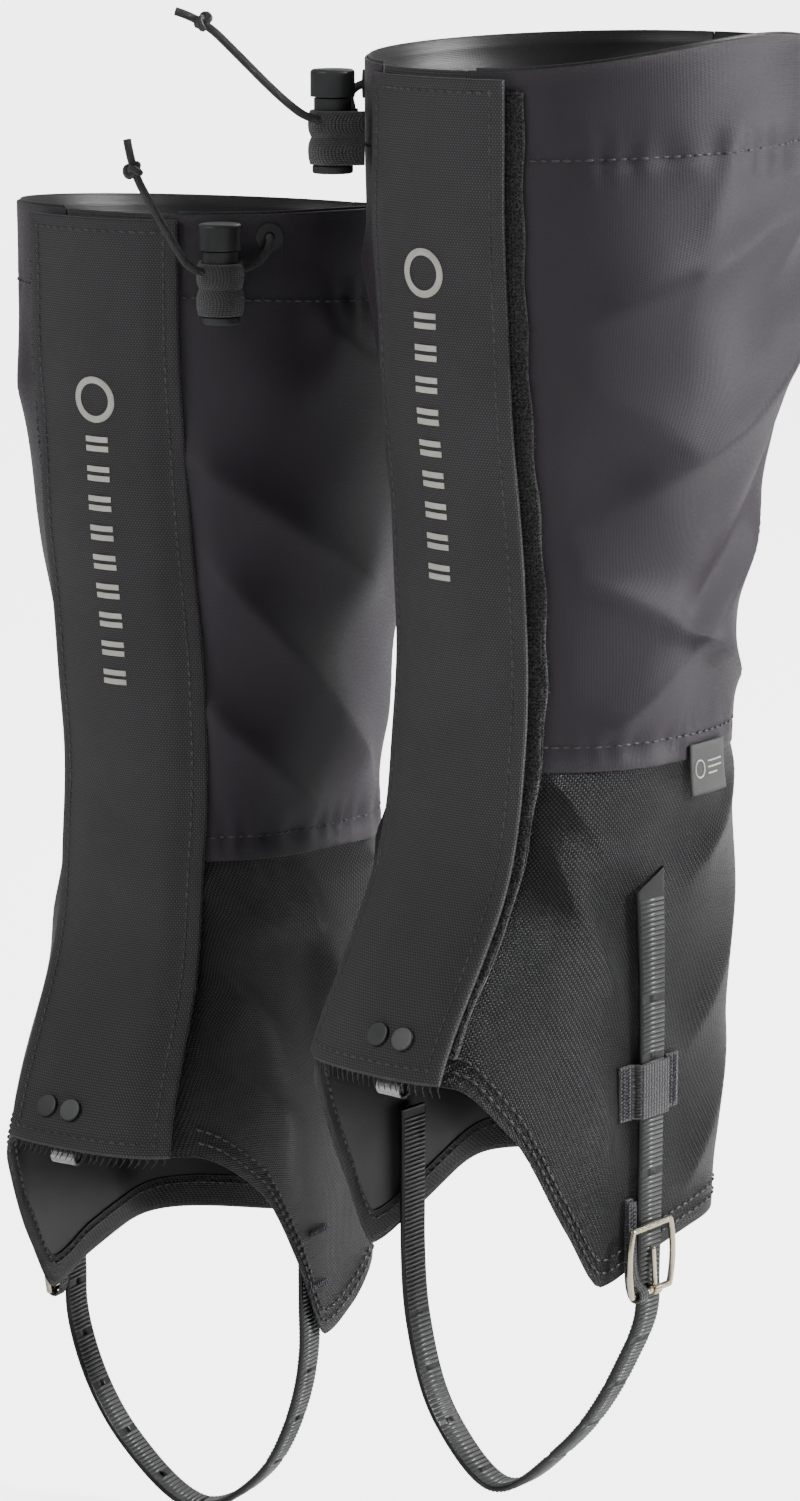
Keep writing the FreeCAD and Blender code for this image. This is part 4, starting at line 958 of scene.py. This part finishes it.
class GAITER_OT_cords(bpy.types.Operator):
    """Loose ends of both drawcords with their knots"""
    bl_idname = "gaiter.cords"
    bl_label = "Drawcords"

    def execute(self, context):
        for side in SIDES:
            route = place(side, tail_points(side))
            data = bpy.data.curves.new(side + "_drawcord_end", "CURVE")
            data.dimensions = "3D"
            data.bevel_depth = CORD / 2 * MM
            data.bevel_resolution = 4
            data.resolution_u = 14
            data.use_fill_caps = True
            line = data.splines.new("NURBS")
            line.points.add(len(route) - 1)
            for point, at in zip(line.points, route):
                point.co = (*at, 1.0)
            line.order_u = 3
            line.use_endpoint_u = True
            tail = link(side + "_drawcord_end", data, [MATERIALS["Braided cord"]])
            points = tail_points(side)
            heading = points[-1] - points[-3]
            closed = knot_line(points[-2] * 0.8 + (points[-1] + points[-3]) * 0.1, heading, 2.6)
            knot = tube_mesh(side + "_drawcord_knot", side, np.concatenate([closed, closed[:1]]), 1.25,
                             "Braided cord", around=8)
            finish_piece(tail, side + "_shell", "cord", side + "_drawcord_tail")
            finish_piece(knot, side + "_shell", "cord")
        return {"FINISHED"}


# ---- leg panels --------------------------------------------------------------------------------------
def placket_edge(z):
    return front_angle(FLAP_OUTER - PLACKET_OVERLAP, z)


def slit_edge(z):
    """Where the placket starts, next to the flap's sewn edge."""
    return front_angle(FLAP_INNER + 3.6, z)


def panel_sheet(name, side, angles, heights, lift, thickness, columns, rows, materials, nodes,
                slot_name, belly=None):
    """Sheet of cloth with an outer and an inner face, on the folded tube."""
    su = np.linspace(0, 1, columns)
    sv = np.linspace(0, 1, rows)
    angle, z = patch_grid(angles, heights, su, sv)
    extra = belly(angle, z) if belly else 0.0
    outer = cloth(side, angle, z, lift + extra)
    inner = cloth(side, angle, z, lift + extra - thickness)
    piece = slab(name, side, outer, inner, materials, None, 1 if len(materials) > 1 else 0)
    bevel = piece.modifiers.new("Soft edge", "BEVEL")
    bevel.width, bevel.segments, bevel.limit_method = 0.0003, 2, "ANGLE"
    bevel.angle_limit = math.radians(60)
    piece = baked(piece)
    finish_piece(piece, side + "_shell", slot_name, *nodes)
    return piece


class GAITER_OT_panels(bpy.types.Operator):
    """Upper and lower cloth of both legs, the rim's tunnel and the turned hem"""
    bl_idname = "gaiter.panels"
    bl_label = "Leg panels"

    def execute(self, context):
        lining = MATERIALS["Coated lining"]
        for side in SIDES:
            outer = (lambda z: placket_edge(z) + 0.3, 179.95)
            inner = (-179.95, lambda z: front_angle(FLAP_INNER + 3.0, z))
            for label, edges in (("outer", outer), ("inner", inner)):
                panel_sheet(f"{side}_leg_{label}_cloth", side, edges,
                            (lambda a: rim_z(side, a), SEAM_Z - 6.0), 0.35, FABRIC_LAYER,
                            91, 91, [MATERIALS["Soft shell cloth"], lining],
                            [f"{side}_upper_{label}_panel"], "upper_fabric")
                panel_sheet(f"{side}_boot_{label}_cloth", side, edges,
                            (SEAM_Z + 6.0, lambda angle: hem_z(side, angle)), -0.2, FABRIC_LAYER,
                            101, 81, [MATERIALS["Ballistic cloth"], lining],
                            [f"{side}_lower_{label}_panel"], "lower_fabric")

                def tunnel(angle, z):
                    depth = rim_z(side, angle) - z
                    return -1.6 - 4.3 * np.exp(-((depth - 19) / 9.0) ** 2) + 1.2 * np.exp(-(depth / 1.2) ** 2)

                if label == "outer":
                    lining_edges = (lambda z: edges[0](z) + 2.0, 179.9)
                else:
                    lining_edges = (-179.9, lambda z: edges[1](z) - 2.0)
                panel_sheet(f"{side}_rim_tunnel_{label}", side, lining_edges,
                            (lambda a: rim_z(side, a) + 0.9, lambda a: rim_z(side, a) - 36.0), 0.0, 0.7, 61, 25,
                            [lining],
                            [f"{side}_top_facing"], "lining", belly=tunnel)
                panel_sheet(f"{side}_hem_turn_{label}", side, lining_edges,
                            (lambda a: hem_z(side, a) + 12.0, lambda a: hem_z(side, a) - 0.5), -1.12, 0.6, 101, 9,
                            [MATERIALS["Ballistic cloth"]],
                            [f"{side}_hem_facing"], "lining",
                            belly=lambda a, z: fade(hem_z(side, a) - z, -2.4, 0.3))
        return {"FINISHED"}


# ---- front flap --------------------------------------------------------------------------------------
def flap_lift(x):
    return 0.7 + 2.2 * fade(x, FLAP_INNER, FLAP_INNER + 12.0)


def flap_wave(x, z):
    """Slow waves of the flap, none at its sewn edge."""
    return 0.5 * np.sin(z * 0.037 + x * 0.05) * fade(x, FLAP_INNER, FLAP_INNER + 14) + 0.25 * np.sin(z * 0.11 + 1.0)


def flap_points(side, x, z, above):
    angle = front_angle(x, z)
    lift = flap_lift(x) + above + flap_wave(x, z)
    return on_section(side, angle, z) + outward(side, angle, z) * np.asarray(lift)[..., None]


def bend_with_flap(side, piece):
    """Keeps the sewn edge on the leg while the rest swings with the flap."""
    start = place(side, [FLAP_INNER - 1.0, -60.0, -160.0])
    end = place(side, [FLAP_INNER + 9.0, -60.0, -160.0])
    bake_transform(piece, side + "_shell", side + "_flap", start=tuple(start), end=tuple(end))
    return piece


def flap_slab(name, side, x0, x1, z0, z1, above, thickness, materials, across=33, down=111, radius=0.9,
              border=0.0):
    su, full_u = rounded_share(across, x1 - x0, radius)
    sv, full_v = rounded_share(down, z0 - z1, radius)
    x = x0 + su[None, :] * (x1 - x0) + np.zeros((len(sv), 1))
    z = z0 - sv[:, None] * (z0 - z1) + np.zeros((1, len(su)))
    full = np.minimum(full_u[None, :], full_v[:, None])
    reach = np.minimum(np.minimum(x - x0, x1 - x), np.minimum(z0 - z, z - z1))
    fold = border * (1 - fade(reach, 5.2, 6.4)) - 0.9 * border * np.exp(-((reach - 4.3) / 0.8) ** 2)
    middle = thickness / 2
    outer = flap_points(side, x, z, above + middle + (middle + fold) * (0.15 + 0.85 * full))
    inner = flap_points(side, x, z, above + middle - middle * (0.15 + 0.85 * full))
    uv = np.stack([x, z], -1).reshape(-1, 2) * MM
    return slab(name, side, outer, inner, materials, uv)


def mark_strokes():
    """Plain ring above a column of plain bars, as short satin stitches in flap x and z."""
    middle = (FLAP_INNER + FLAP_OUTER) / 2
    strokes = []
    for k in range(84):
        a = 2 * math.pi * k / 84
        ring = [(middle + r * math.cos(a), -66.0 + r * math.sin(a)) for r in (5.8, 6.9, 8.0)]
        strokes.append((ring, (0.1, 0.42, 0.1)))
    for i in range(9):
        top = -79.0 - 10.5 * i
        for k in (0, 1, 2, 3, 7, 8, 9, 10):
            z = top - 0.25 - 0.47 * k
            strokes.append(([(middle - 4.5, z), (middle - 1.5, z), (middle + 1.5, z), (middle + 4.5, z)],
                            (0.05, 0.38, 0.38, 0.05)))
    return strokes


class GAITER_OT_flap(bpy.types.Operator):
    """Front flap of both gaiters with its strips, mark and press snaps, and the placket under it"""
    bl_idname = "gaiter.flap"
    bl_label = "Front flaps"

    def execute(self, context):
        for side in SIDES:
            panel_sheet(f"{side}_placket_cloth", side, (slit_edge, placket_edge),
                        (lambda a: rim_z(side, a), -HEM_ARCH), 0.0, FABRIC_LAYER, 31, 91,
                        [MATERIALS["Pack cloth"], MATERIALS["Coated lining"]],
                        [side + "_placket"], "flap_fabric")

            flap = flap_slab(f"{side}_flap_cloth", side, FLAP_INNER, FLAP_OUTER, FLAP_TOP, FLAP_END, 0.0,
                             FLAP_FABRIC, [MATERIALS["Pack cloth"]], border=0.8)
            bend_with_flap(side, flap)
            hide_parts(side + "_front_flap")

            hooks = flap_slab(f"{side}_flap_hooks", side, 2.5, 20.5, -9.0, -308.0, -1.1, 1.0,
                              [MATERIALS["Loop pile"]], 9, 81, 0.4)
            finish_piece(hooks, side + "_flap", "loop_pile", side + "_hook_strip")

            su, sv = np.linspace(0, 1, 9), np.linspace(0, 1, 111)
            u, z = np.meshgrid(su, -7.0 - sv * 314.0)
            x0, x1 = 7.5 + 4.0 * fade(-z, 298, 311), 27.5 - 3.4 * fade(-z, 190, 312)
            x = x0 + u * (x1 - x0)
            wave = 0.35 * np.sin(z * 0.21) * fade(x, 20, 27)
            angle = front_angle(x + wave, z)
            top = on_section(side, angle, z) + outward(side, angle, z) * 1.4
            low = on_section(side, angle, z) + outward(side, angle, z) * 0.4
            loops = slab(f"{side}_loop_strip_cloth", side, top, low, [MATERIALS["Loop pile"]],
                         np.stack([x, z], -1).reshape(-1, 2) * MM)
            finish_piece(loops, side + "_shell", "loop_pile", side + "_loop_strip")

            shown = [r * 9 + c for r in range(111) for c in range(6, 9)]
            count = {v: i for i, v in enumerate(shown)}
            faces = []
            for r in range(110):
                for c in range(6, 8):
                    corners = (r * 9 + c, (r + 1) * 9 + c, (r + 1) * 9 + c + 1, r * 9 + c + 1)
                    quad = tuple(count[v] for v in corners)
                    faces.append(quad[::-1] if side == "right" else quad)
            pile = grown(f"{side}_loop_pile", side, [[top.reshape(-1, 3)[v] for v in shown]], "hair", "Pile hair",
                         faces=faces, Density=2.4e6, Length=0.0013, Thickness=0.00016)
            finish_piece(pile, side + "_shell", "loop_pile")

            paths = []
            for x0 in np.arange(FLAP_INNER + 1, FLAP_OUTER - 0.5, 0.35):
                k = int(x0 * 137) % 7
                paths.append(flap_points(side, np.array([x0, x0 + 0.3 * (k - 3), x0 + 0.5 * (k - 2)]),
                                         np.array([FLAP_END + 1.0, FLAP_END - 0.9, FLAP_END - 1.6 - 0.25 * k]),
                                         np.array([0.3, 0.2 - 0.1 * k, -0.4])))
            fringe = grown(f"{side}_flap_fray", side, paths, "thread", "Pile hair", Thickness=0.00028)
            bend_with_flap(side, fringe)

            threads = []
            for line, lifts in mark_strokes():
                xs, zs = zip(*line)
                threads.append(flap_points(side, np.array(xs), np.array(zs), FLAP_FABRIC + np.array(lifts)))
            mark = grown(f"{side}_flap_embroidery", side, threads, "thread", "Embroidery thread", Thickness=0.00062)
            finish_piece(mark, side + "_flap", "embroidery", side + "_flap_mark")
            for node in ("snap_caps", "snap_studs", "eyelet"):
                paint_node(side, node, "Snap enamel")
            paint_node(side, "lace_hook", "Spring steel")
        return {"FINISHED"}


def paint_node(side, node, material):
    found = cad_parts[f"{side}_{node}"]
    found.data.materials.clear()
    found.data.materials.append(MATERIALS[material])


# ---- strap and buckle --------------------------------------------------------------------------------
def strap_line(side, count=420):
    """Centre line of the strap from the tail's tip to its sewn end, with its across and face directions."""
    outer_x = on_section("left", side_angle(STRAP_Y, BUCKLE_Z), BUCKLE_Z)[0] + 2.0
    inner_x = on_section("left", side_angle(STRAP_Y, BUCKLE_Z, True), BUCKLE_Z)[0] + INNER_STRAP_DEPTH
    droop, lean = DROOP[side], LEAN[side]
    heights = np.linspace(-265.0, BUCKLE_Z, 40)
    angle = side_angle(STRAP_Y, heights)
    tail = on_section("left", angle, heights) + outward("left", angle, heights) * 2.0
    knots = [tuple(p) for p in tail[:-1]]
    fall = droop - PIVOT_Z
    starts = (outer_x, outer_x, (outer_x + inner_x) / 2, inner_x, inner_x)
    loop = [(x + inset - leaning * lean, PIVOT_Z + share * fall)
            for x, (share, inset, leaning) in zip(starts, LOOP_SHAPE)]
    for x, z in ((outer_x, PIVOT_Z), *loop, (inner_x, PIVOT_Z), (inner_x, -400.0), (inner_x, -384.0),
                 (inner_x, -367.0)):
        knots.append((x, STRAP_Y, z))
    knots = np.array(knots)
    run = np.concatenate([[0], np.cumsum(np.linalg.norm(np.diff(knots, axis=0), axis=1))])
    at = np.linspace(0, run[-1], count)
    slopes = np.gradient(knots, run, axis=0)
    i = np.clip(np.searchsorted(run, at, side="right") - 1, 0, len(run) - 2)
    w = (run[i + 1] - run[i])[:, None]
    t = ((at - run[i])[:, None]) / w
    line = ((1 + 2 * t) * (1 - t) ** 2 * knots[i] + t * (1 - t) ** 2 * w * slopes[i]
            + t * t * (3 - 2 * t) * knots[i + 1] + t * t * (t - 1) * w * slopes[i + 1])
    tangent = unit(np.gradient(line, axis=0))
    across = np.tile([0.0, 1.0, 0.0], (count, 1))
    on_leg = (1 - fade(-line[:, 2], 385, 412)) * (at < 160)
    angle = side_angle(STRAP_Y, np.clip(line[:, 2], -415, -260))
    normal = outward("left", angle, np.clip(line[:, 2], -415, -260))
    level = unit(np.cross(normal, tangent))
    level *= np.sign(level[:, 1:2])
    across = unit(across * (1 - on_leg)[:, None] + level * on_leg[:, None])
    face = unit(np.cross(across, tangent))
    face *= np.where(face[:1, 0:1] > 0, 1, -1)
    return at, turned(side, line), turned(side, across), turned(side, face)


def bend_with_loop(side, piece):
    """The strap stays on the leg above the buckle and swings with the loop below it."""
    middle = turned(side, [[0.0, STRAP_Y, 0.0]])[0]
    start = place(side, [middle[0], middle[1], PIVOT_Z + 9.0])
    end = place(side, [middle[0], middle[1], PIVOT_Z - 9.0])
    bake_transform(piece, side + "_shell", side + "_loop", start=tuple(start), end=tuple(end))
    return piece


def band(name, side, line, across, face, width, thickness, material, tip=None):
    """Flat band along a line, with rounded margins; tip cuts its first end on a slant."""
    profile = [(-0.5, 0.0), (-0.485, 0.34), (-0.45, 0.5), (-0.38, 0.5), (-0.2, 0.5), (0.2, 0.5), (0.38, 0.5),
               (0.45, 0.5), (0.485, 0.34), (0.5, 0.0), (0.485, -0.34), (0.45, -0.5), (0.38, -0.5), (0.2, -0.5),
               (-0.2, -0.5), (-0.38, -0.5), (-0.45, -0.5), (-0.485, -0.34)]
    tangent = unit(np.gradient(line, axis=0))
    run = np.concatenate([[0], np.cumsum(np.linalg.norm(np.diff(line, axis=0), axis=1))])
    points, uv = [], []
    for i in range(len(line)):
        for px, pz in profile:
            p = line[i] + across[i] * px * width + face[i] * pz * thickness
            if tip is not None and run[i] < tip:
                p = p + tangent[i] * (0.5 - px) * (tip - run[i]) * 0.9
            points.append(p)
            uv.append((px * width * MM, run[i] * MM))
    n = len(profile)
    flip = np.dot(np.cross(across[0], face[0]), tangent[0]) > 0
    flip = flip != (side == "right")
    faces = grid_faces(len(line), n, 0, not flip, closed=True)
    first, last = tuple(range(n)), tuple(range((len(line) - 1) * n, len(line) * n))
    faces += [first if not flip else first[::-1], last[::-1] if not flip else last]
    edge = [1.0 if abs(px) > 0.44 else 0.0 for px, _ in profile] * len(line)
    return mesh_piece(name, place(side, points), faces, [MATERIALS[material]], uv, edge)


def strap_holes(side, at, line, across, face, positions):
    """Oval cutters for the adjusting holes."""
    n = HOLE_SIDES
    points, faces = [], []
    tangent = unit(np.gradient(line, axis=0))
    for position in positions:
        i = int(np.argmin(np.abs(at - position)))
        start = len(points)
        for level in (-3.0, 3.0):
            for k in range(n):
                a = 2 * math.pi * k / n
                points.append(line[i] + face[i] * level + across[i] * 1.05 * math.cos(a)
                              + tangent[i] * 1.5 * math.sin(a))
        faces += [(start + k, start + (k + 1) % n, start + n + (k + 1) % n, start + n + k) for k in range(n)]
        faces += [tuple(range(start, start + n))[::-1], tuple(range(start + n, start + 2 * n))]
    return mesh_piece("hole_cutter", place(side, points), faces, [])


class GAITER_OT_strap(bpy.types.Operator):
    """Ribbed under-foot straps in one piece each, with holes, buckle, keeper and webbing tab"""
    bl_idname = "gaiter.strap"
    bl_label = "Straps and buckles"

    def execute(self, context):
        for side in SIDES:
            at, line, across, face = strap_line(side)
            strap = band(side + "_foot_strap", side, line, across, face, STRAP_WIDTH, STRAP_THICKNESS,
                         "Strap urethane", tip=8.0)
            holes = np.arange(FIRST_HOLE, LAST_HOLE, HOLE_PITCH)
            cutter = strap_holes(side, at, line, across, face, holes)
            cut = strap.modifiers.new("Holes", "BOOLEAN")
            cut.object, cut.operation, cut.solver = cutter, "DIFFERENCE", "EXACT"
            strap = baked(strap)
            bpy.data.objects.remove(cutter)
            bend_with_loop(side, strap)
            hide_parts(side + "_strap_tail", side + "_strap_loop", side + "_strap_inner_end")

            for sign, label in ((1, "outer"), (-1, "inner")):
                keep = (at > 10.0) & (at < at[-1] - 3.0)
                path = (line + face * sign * 0.78)[keep]
                pieces, attributes = [], {"face": [], "across": []}
                run = at[keep]
                stops = [run[0]] + [end for hole in holes for end in (hole - 1.3, hole + 1.3)] + [run[-1]]
                for a, b in zip(stops[::2], stops[1::2]):
                    inside = (run >= a) & (run <= b)
                    if inside.sum() > 2:
                        pieces.append(path[inside])
                        attributes["face"].extend((face[keep])[inside])
                        attributes["across"].extend((across[keep])[inside])
                # The ribs carry the lighter rib material, a painted highlight on each rib.
                ribs = grown(f"{side}_strap_ribs_{label}", side, pieces, "ribs", "Strap ribs",
                             attributes=attributes, Pitch=context.scene.gaiter_stitch.strap_pitch, Width=0.0106,
                             Rib=0.0012, Height=0.0011)
                bend_with_loop(side, ribs)

            self.keeper(side)
            self.tab(side)
            paint_node(side, "buckle_frame", "Buckle nickel")
            paint_node(side, "buckle_prong", "Buckle nickel")
        return {"FINISHED"}

    def keeper(self, side):
        """Webbing sleeve over the strap, sewn down on both margins."""
        y = np.concatenate([np.linspace(-15.5, -6.2, 14), np.linspace(-5.8, 5.8, 11), np.linspace(6.2, 15.5, 14)])
        z = np.linspace(KEEPER_TOP, KEEPER_END, 17)
        yy, zz = np.meshgrid(y, z)
        rise = 1 - fade(np.abs(yy), 6.6, 9.2)
        lift = 0.35 + 2.9 * rise
        angle = side_angle(STRAP_Y + yy, zz)
        base, normal = on_section(side, angle, zz), outward(side, angle, zz)
        ribs = 0.12 * np.sin(np.linspace(0, 1, 17) * math.pi * 17)[:, None]
        outer = base + normal * (lift + 1.1 + ribs)[..., None]
        inner = base + normal * lift[..., None]
        webbing = slab(side + "_keeper_webbing", side, outer, inner, [MATERIALS["Twill webbing"]],
                       np.stack([yy, zz], -1).reshape(-1, 2) * MM)
        finish_piece(webbing, side + "_shell", "webbing", side + "_strap_keeper")
        paths = []
        for sign in (-1, 1):
            for column in (11.2, 13.6):
                zig = [(sign * (column + (0.9 if k % 2 else -0.9)), KEEPER_TOP - 0.7 - k * 0.62)
                       for k in range(29)]
                ys, zs = np.array(zig).T
                a = side_angle(STRAP_Y + ys, zs)
                paths.append(on_section(side, a, zs) + outward(side, a, zs) * 1.62)
        sewing = grown(side + "_keeper_bartacks", side, paths, "thread", "Bartack thread", Thickness=0.0006)
        finish_piece(sewing, side + "_shell", "webbing")

    def tab(self, side):
        """Webbing that goes round the buckle's lower bar, doubled and sewn up the panel."""
        face_x = on_section("left", side_angle(STRAP_Y, BUCKLE_Z), BUCKLE_Z)[0]
        bar_x = face_x + 5.3
        rear = STRAP_Y - STRAP_WIDTH / 2 - 0.5
        front = rear - 4.2
        path = [(face_x + 0.75, -378.0), (face_x + 0.75, -392.0), (face_x + 0.8, -404.0), (face_x + 1.4, -409.5),
                (bar_x - 2.2, -413.0), (bar_x, -413.4), (bar_x + 2.0, -412.4), (bar_x + 2.45, -410.6),
                (bar_x + 1.6, -408.8), (bar_x - 0.4, -408.0), (face_x + 3.2, -406.0), (face_x + 2.2, -400.0),
                (face_x + 1.9, -390.0), (face_x + 1.9, -379.0)]
        knots = np.array([(x, (rear + front) / 2, z) for x, z in path])
        data = bpy.data.curves.new("tab_path", "CURVE")
        data.dimensions = "3D"
        spline = data.splines.new("NURBS")
        spline.points.add(len(knots) - 1)
        for point, k in zip(spline.points, knots):
            point.co = (*k, 1.0)
        spline.order_u = 3
        spline.use_endpoint_u = True
        guide = baked(link("tab_path", data))
        line = np.array([v.co for v in guide.data.vertices])
        bpy.data.objects.remove(guide)
        tangent = unit(np.gradient(line, axis=0))
        across = np.tile([0.0, 1.0, 0.0], (len(line), 1))
        face = unit(np.cross(across, tangent))
        line, across, face = (turned(side, v) for v in (line, across, face))
        strip = band(side + "_buckle_webbing", side, line, across, face, TAB_WIDTH, 0.95, "Twill webbing")
        finish_piece(strip, side + "_shell", "webbing", side + "_buckle_tab")
        zig = [(face_x + 2.55, (rear + front) / 2 + (1.5 if k % 2 else -1.5), -380.0 - 0.72 * k)
               for k in range(34)]
        sewing = grown(side + "_buckle_bartacks", side, [turned(side, np.array(zig))], "thread", "Bartack thread",
                       Thickness=0.0006)
        finish_piece(sewing, side + "_shell", "webbing")


# ---- cord lock ---------------------------------------------------------------------------------------
class GAITER_OT_lock(bpy.types.Operator):
    """Cord locks: elastic bands round the barrels"""
    bl_idname = "gaiter.lock"
    bl_label = "Cord locks"

    def execute(self, context):
        for side in SIDES:
            for node in ("lock_barrel", "lock_plunger"):
                paint_node(side, node, "Lock plastic")
            paint_node(side, "lock_spring", "Spring steel")
            paint_node(side, "drawcord", "Braided cord")
            centre, along, away, hole = lock_axes(side)
            low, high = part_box(side + "_elastic_tab")
            drop = -PAIR_DROP if side == "right" else 0.0
            z_low, z_high = low[2] / MM - drop, high[2] / MM - drop
            wide = ELASTIC_HALF_WIDTH
            straight = np.linspace(-ELASTIC_DEPTH, 0, 10)[:-1]
            bend = np.radians(np.linspace(0, 180, 25))
            shape = np.array([(wide, t) for t in straight] + [(wide * math.cos(a), wide * math.sin(a)) for a in bend]
                             + [(-wide, t) for t in straight[::-1]])
            tangent = unit(np.gradient(shape, axis=0))
            normal = np.stack([tangent[:, 1], -tangent[:, 0]], -1)
            heights = np.linspace(z_high, z_low, 41)
            middle = (z_high + z_low) / 2
            share = (heights - middle) / (z_high - z_low) * 2
            lobes = 0.75 * np.abs(np.sin(share * math.pi)) ** 0.7 - 0.35 * np.exp(-(share / 0.16) ** 2)
            outer, inner = [], []
            for z, bulge in zip(heights, lobes):
                row_out, row_in = [], []
                for (x, y), (nx, ny) in zip(shape, normal):
                    soft = fade(y, -ELASTIC_DEPTH, -4.0)
                    for row, lift in ((row_out, 0.6 + bulge * soft), (row_in, -0.45 + 0.5 * max(bulge, 0) * soft)):
                        row.append(centre + along * (x + nx * lift) + away * (y + ny * lift) - [0, 0, centre[2] - z])
                outer.append(row_out)
                inner.append(row_in)
            elastic = slab(side + "_lock_elastic", side, np.array(outer)[:, ::-1], np.array(inner)[:, ::-1],
                           [MATERIALS["Herringbone elastic"]])
            finish_piece(elastic, side + "_shell", "elastic", side + "_elastic_tab")
        return {"FINISHED"}


# ---- stitching and label -----------------------------------------------------------------------------
class GAITER_OT_stitching(bpy.types.Operator):
    """Rows of stitches on the panels, hem and flaps, bartacks, and the side labels"""
    bl_idname = "gaiter.stitching"
    bl_label = "Stitching and labels"

    def execute(self, context):
        sizes = context.scene.gaiter_stitch
        for side in SIDES:
            stitch = {"Pitch": sizes.pitch, "Length": sizes.length, "Thickness": sizes.thickness}
            rows = []
            for start, end in ((19.0, 179.0), (-179.0, -32.0)):
                angle = np.linspace(start, end, 200)
                rows.append(cloth(side, angle, tunnel_seam_z(side, angle), 0.5))
                rows.append(cloth(side, angle, np.full(200, SEAM_Z + 2.5), 0.5))
            stitched = grown(side + "_leg_stitches", side, rows, "stitch", "Sewing thread", **stitch)
            finish_piece(stitched, side + "_shell", "upper_fabric")

            rows = []
            for start, end in ((16.0, 179.5), (-179.5, -26.0)):
                angle = np.linspace(start, end, 320)
                rows.append(cloth(side, angle, hem_z(side, angle) + 4.5, 0.0))
                rows.append(cloth(side, angle, hem_z(side, angle) + 9.0, 0.0))
                rows.append(cloth(side, angle, hem_z(side, angle) + 9.0, -1.8))
            for angle in (177.5, -177.5):
                z = np.linspace(rim_z(side, angle) - 2.0, -384.0, 260)
                rows.append(cloth(side, np.full(260, angle), z, 0.5))
            hem = grown(side + "_hem_stitches", side, rows, "stitch", "Sewing thread", **stitch)
            finish_piece(hem, side + "_shell", "lower_fabric")

            x0, x1, z0, z1 = FLAP_INNER + 4.3, FLAP_OUTER - 4.3, FLAP_TOP - 4.3, FLAP_END + 4.3
            above = FLAP_FABRIC + 0.22
            z, x = np.linspace(z0, z1, 160), np.linspace(x0, x1, 30)
            rows = [flap_points(side, np.full(160, margin), z, above) for margin in (x0, x1)]
            rows += [flap_points(side, x, np.full(30, margin), above) for margin in (z0, z1)]
            seam = grown(side + "_flap_stitches", side, rows, "stitch", "Sewing thread", **stitch)
            bend_with_flap(side, seam)

            paths = []
            for z in (-372.0, -393.0):
                zig = [(-6.0 + 0.75 * k, z + (1.1 if k % 2 else -1.1)) for k in range(17)]
                ys, zs = np.array(zig).T
                a = side_angle(STRAP_Y + ys, zs, inner=True)
                paths.append(on_section(side, a, zs) + outward(side, a, zs) * 0.15)
            tacks = grown(side + "_inner_bartacks", side, paths, "thread", "Bartack thread", Thickness=0.0006)
            finish_piece(tacks, side + "_shell", "webbing")
            self.label(side)
        return {"FINISHED"}

    def label(self, side):
        """Folded cloth label, sewn in under the upper cloth's edge, with a plain ring and bars."""
        def on_label(u, v, above):
            angle, z = LABEL_ANGLE + LABEL_SPREAD * u, LABEL_TOP - LABEL_DROP * v
            lift = 0.9 + 1.3 * v ** 1.5 + 0.5 * np.sin(u * math.pi) * v + above
            return on_section(side, angle, z) + outward(side, angle, z) * lift[..., None]

        u, v = np.meshgrid(np.linspace(0, 1, 15), np.linspace(0, 1, 13))
        label = slab(side + "_side_label_cloth", side, on_label(u, v, 0.6), on_label(u, v, 0.0),
                     [MATERIALS["Label cloth"]])
        finish_piece(label, side + "_shell", "label", side + "_side_label")
        ring = np.linspace(0, 2 * math.pi, 25)
        paths = [on_label(0.23 + 0.12 * np.cos(ring), 0.5 + 0.17 * np.sin(ring), 0.68)]
        for height, end in ((0.38, 0.85), (0.5, 0.85), (0.62, 0.7)):
            paths.append(on_label(np.linspace(0.45, end, 8), np.full(8, height), 0.68))
        mark = grown(side + "_side_label_mark", side, paths, "thread", "Embroidery thread", Thickness=0.0006)
        finish_piece(mark, side + "_shell", "label")


class GAITER_PT_panel(bpy.types.Panel):
    """Lists the steps that build the gaiters"""
    bl_label = "Trekking gaiters"
    bl_idname = "GAITER_PT_panel"
    bl_space_type = "VIEW_3D"
    bl_region_type = "UI"
    bl_category = "Gaiters"

    def draw(self, context):
        for step in STEPS:
            self.layout.operator(step.bl_idname)
        for group in ("gaiter_stage", "gaiter_colours", "gaiter_stitch"):
            settings = getattr(context.scene, group)
            for name in settings.__annotations__:
                self.layout.prop(settings, name)


STEPS = (GAITER_OT_stage, GAITER_OT_cords, GAITER_OT_panels, GAITER_OT_flap, GAITER_OT_strap, GAITER_OT_lock,
         GAITER_OT_stitching)
GROUPS_OF_SETTINGS = (StageSizes, ClothColours, StitchSizes)


def register():
    for group in GROUPS_OF_SETTINGS + STEPS + (GAITER_PT_panel,):
        bpy.utils.register_class(group)
    bpy.types.Scene.gaiter_stage = bpy.props.PointerProperty(type=StageSizes)
    bpy.types.Scene.gaiter_colours = bpy.props.PointerProperty(type=ClothColours)
    bpy.types.Scene.gaiter_stitch = bpy.props.PointerProperty(type=StitchSizes)


def unregister():
    for name in ("gaiter_stage", "gaiter_colours", "gaiter_stitch"):
        delattr(bpy.types.Scene, name)
    for group in reversed(GROUPS_OF_SETTINGS + STEPS + (GAITER_PT_panel,)):
        bpy.utils.unregister_class(group)


def main():
    register()
    make_materials(bpy.context.scene.gaiter_colours)
    TREES.update(stitch=stitch_tree(), thread=thread_tree(), hair=hair_tree(), ribs=rib_tree())
    bpy.ops.gaiter.stage()
    bpy.ops.gaiter.cords()
    bpy.ops.gaiter.panels()
    bpy.ops.gaiter.flap()
    bpy.ops.gaiter.strap()
    bpy.ops.gaiter.lock()
    bpy.ops.gaiter.stitching()


if __name__ == "__main__":
    main()
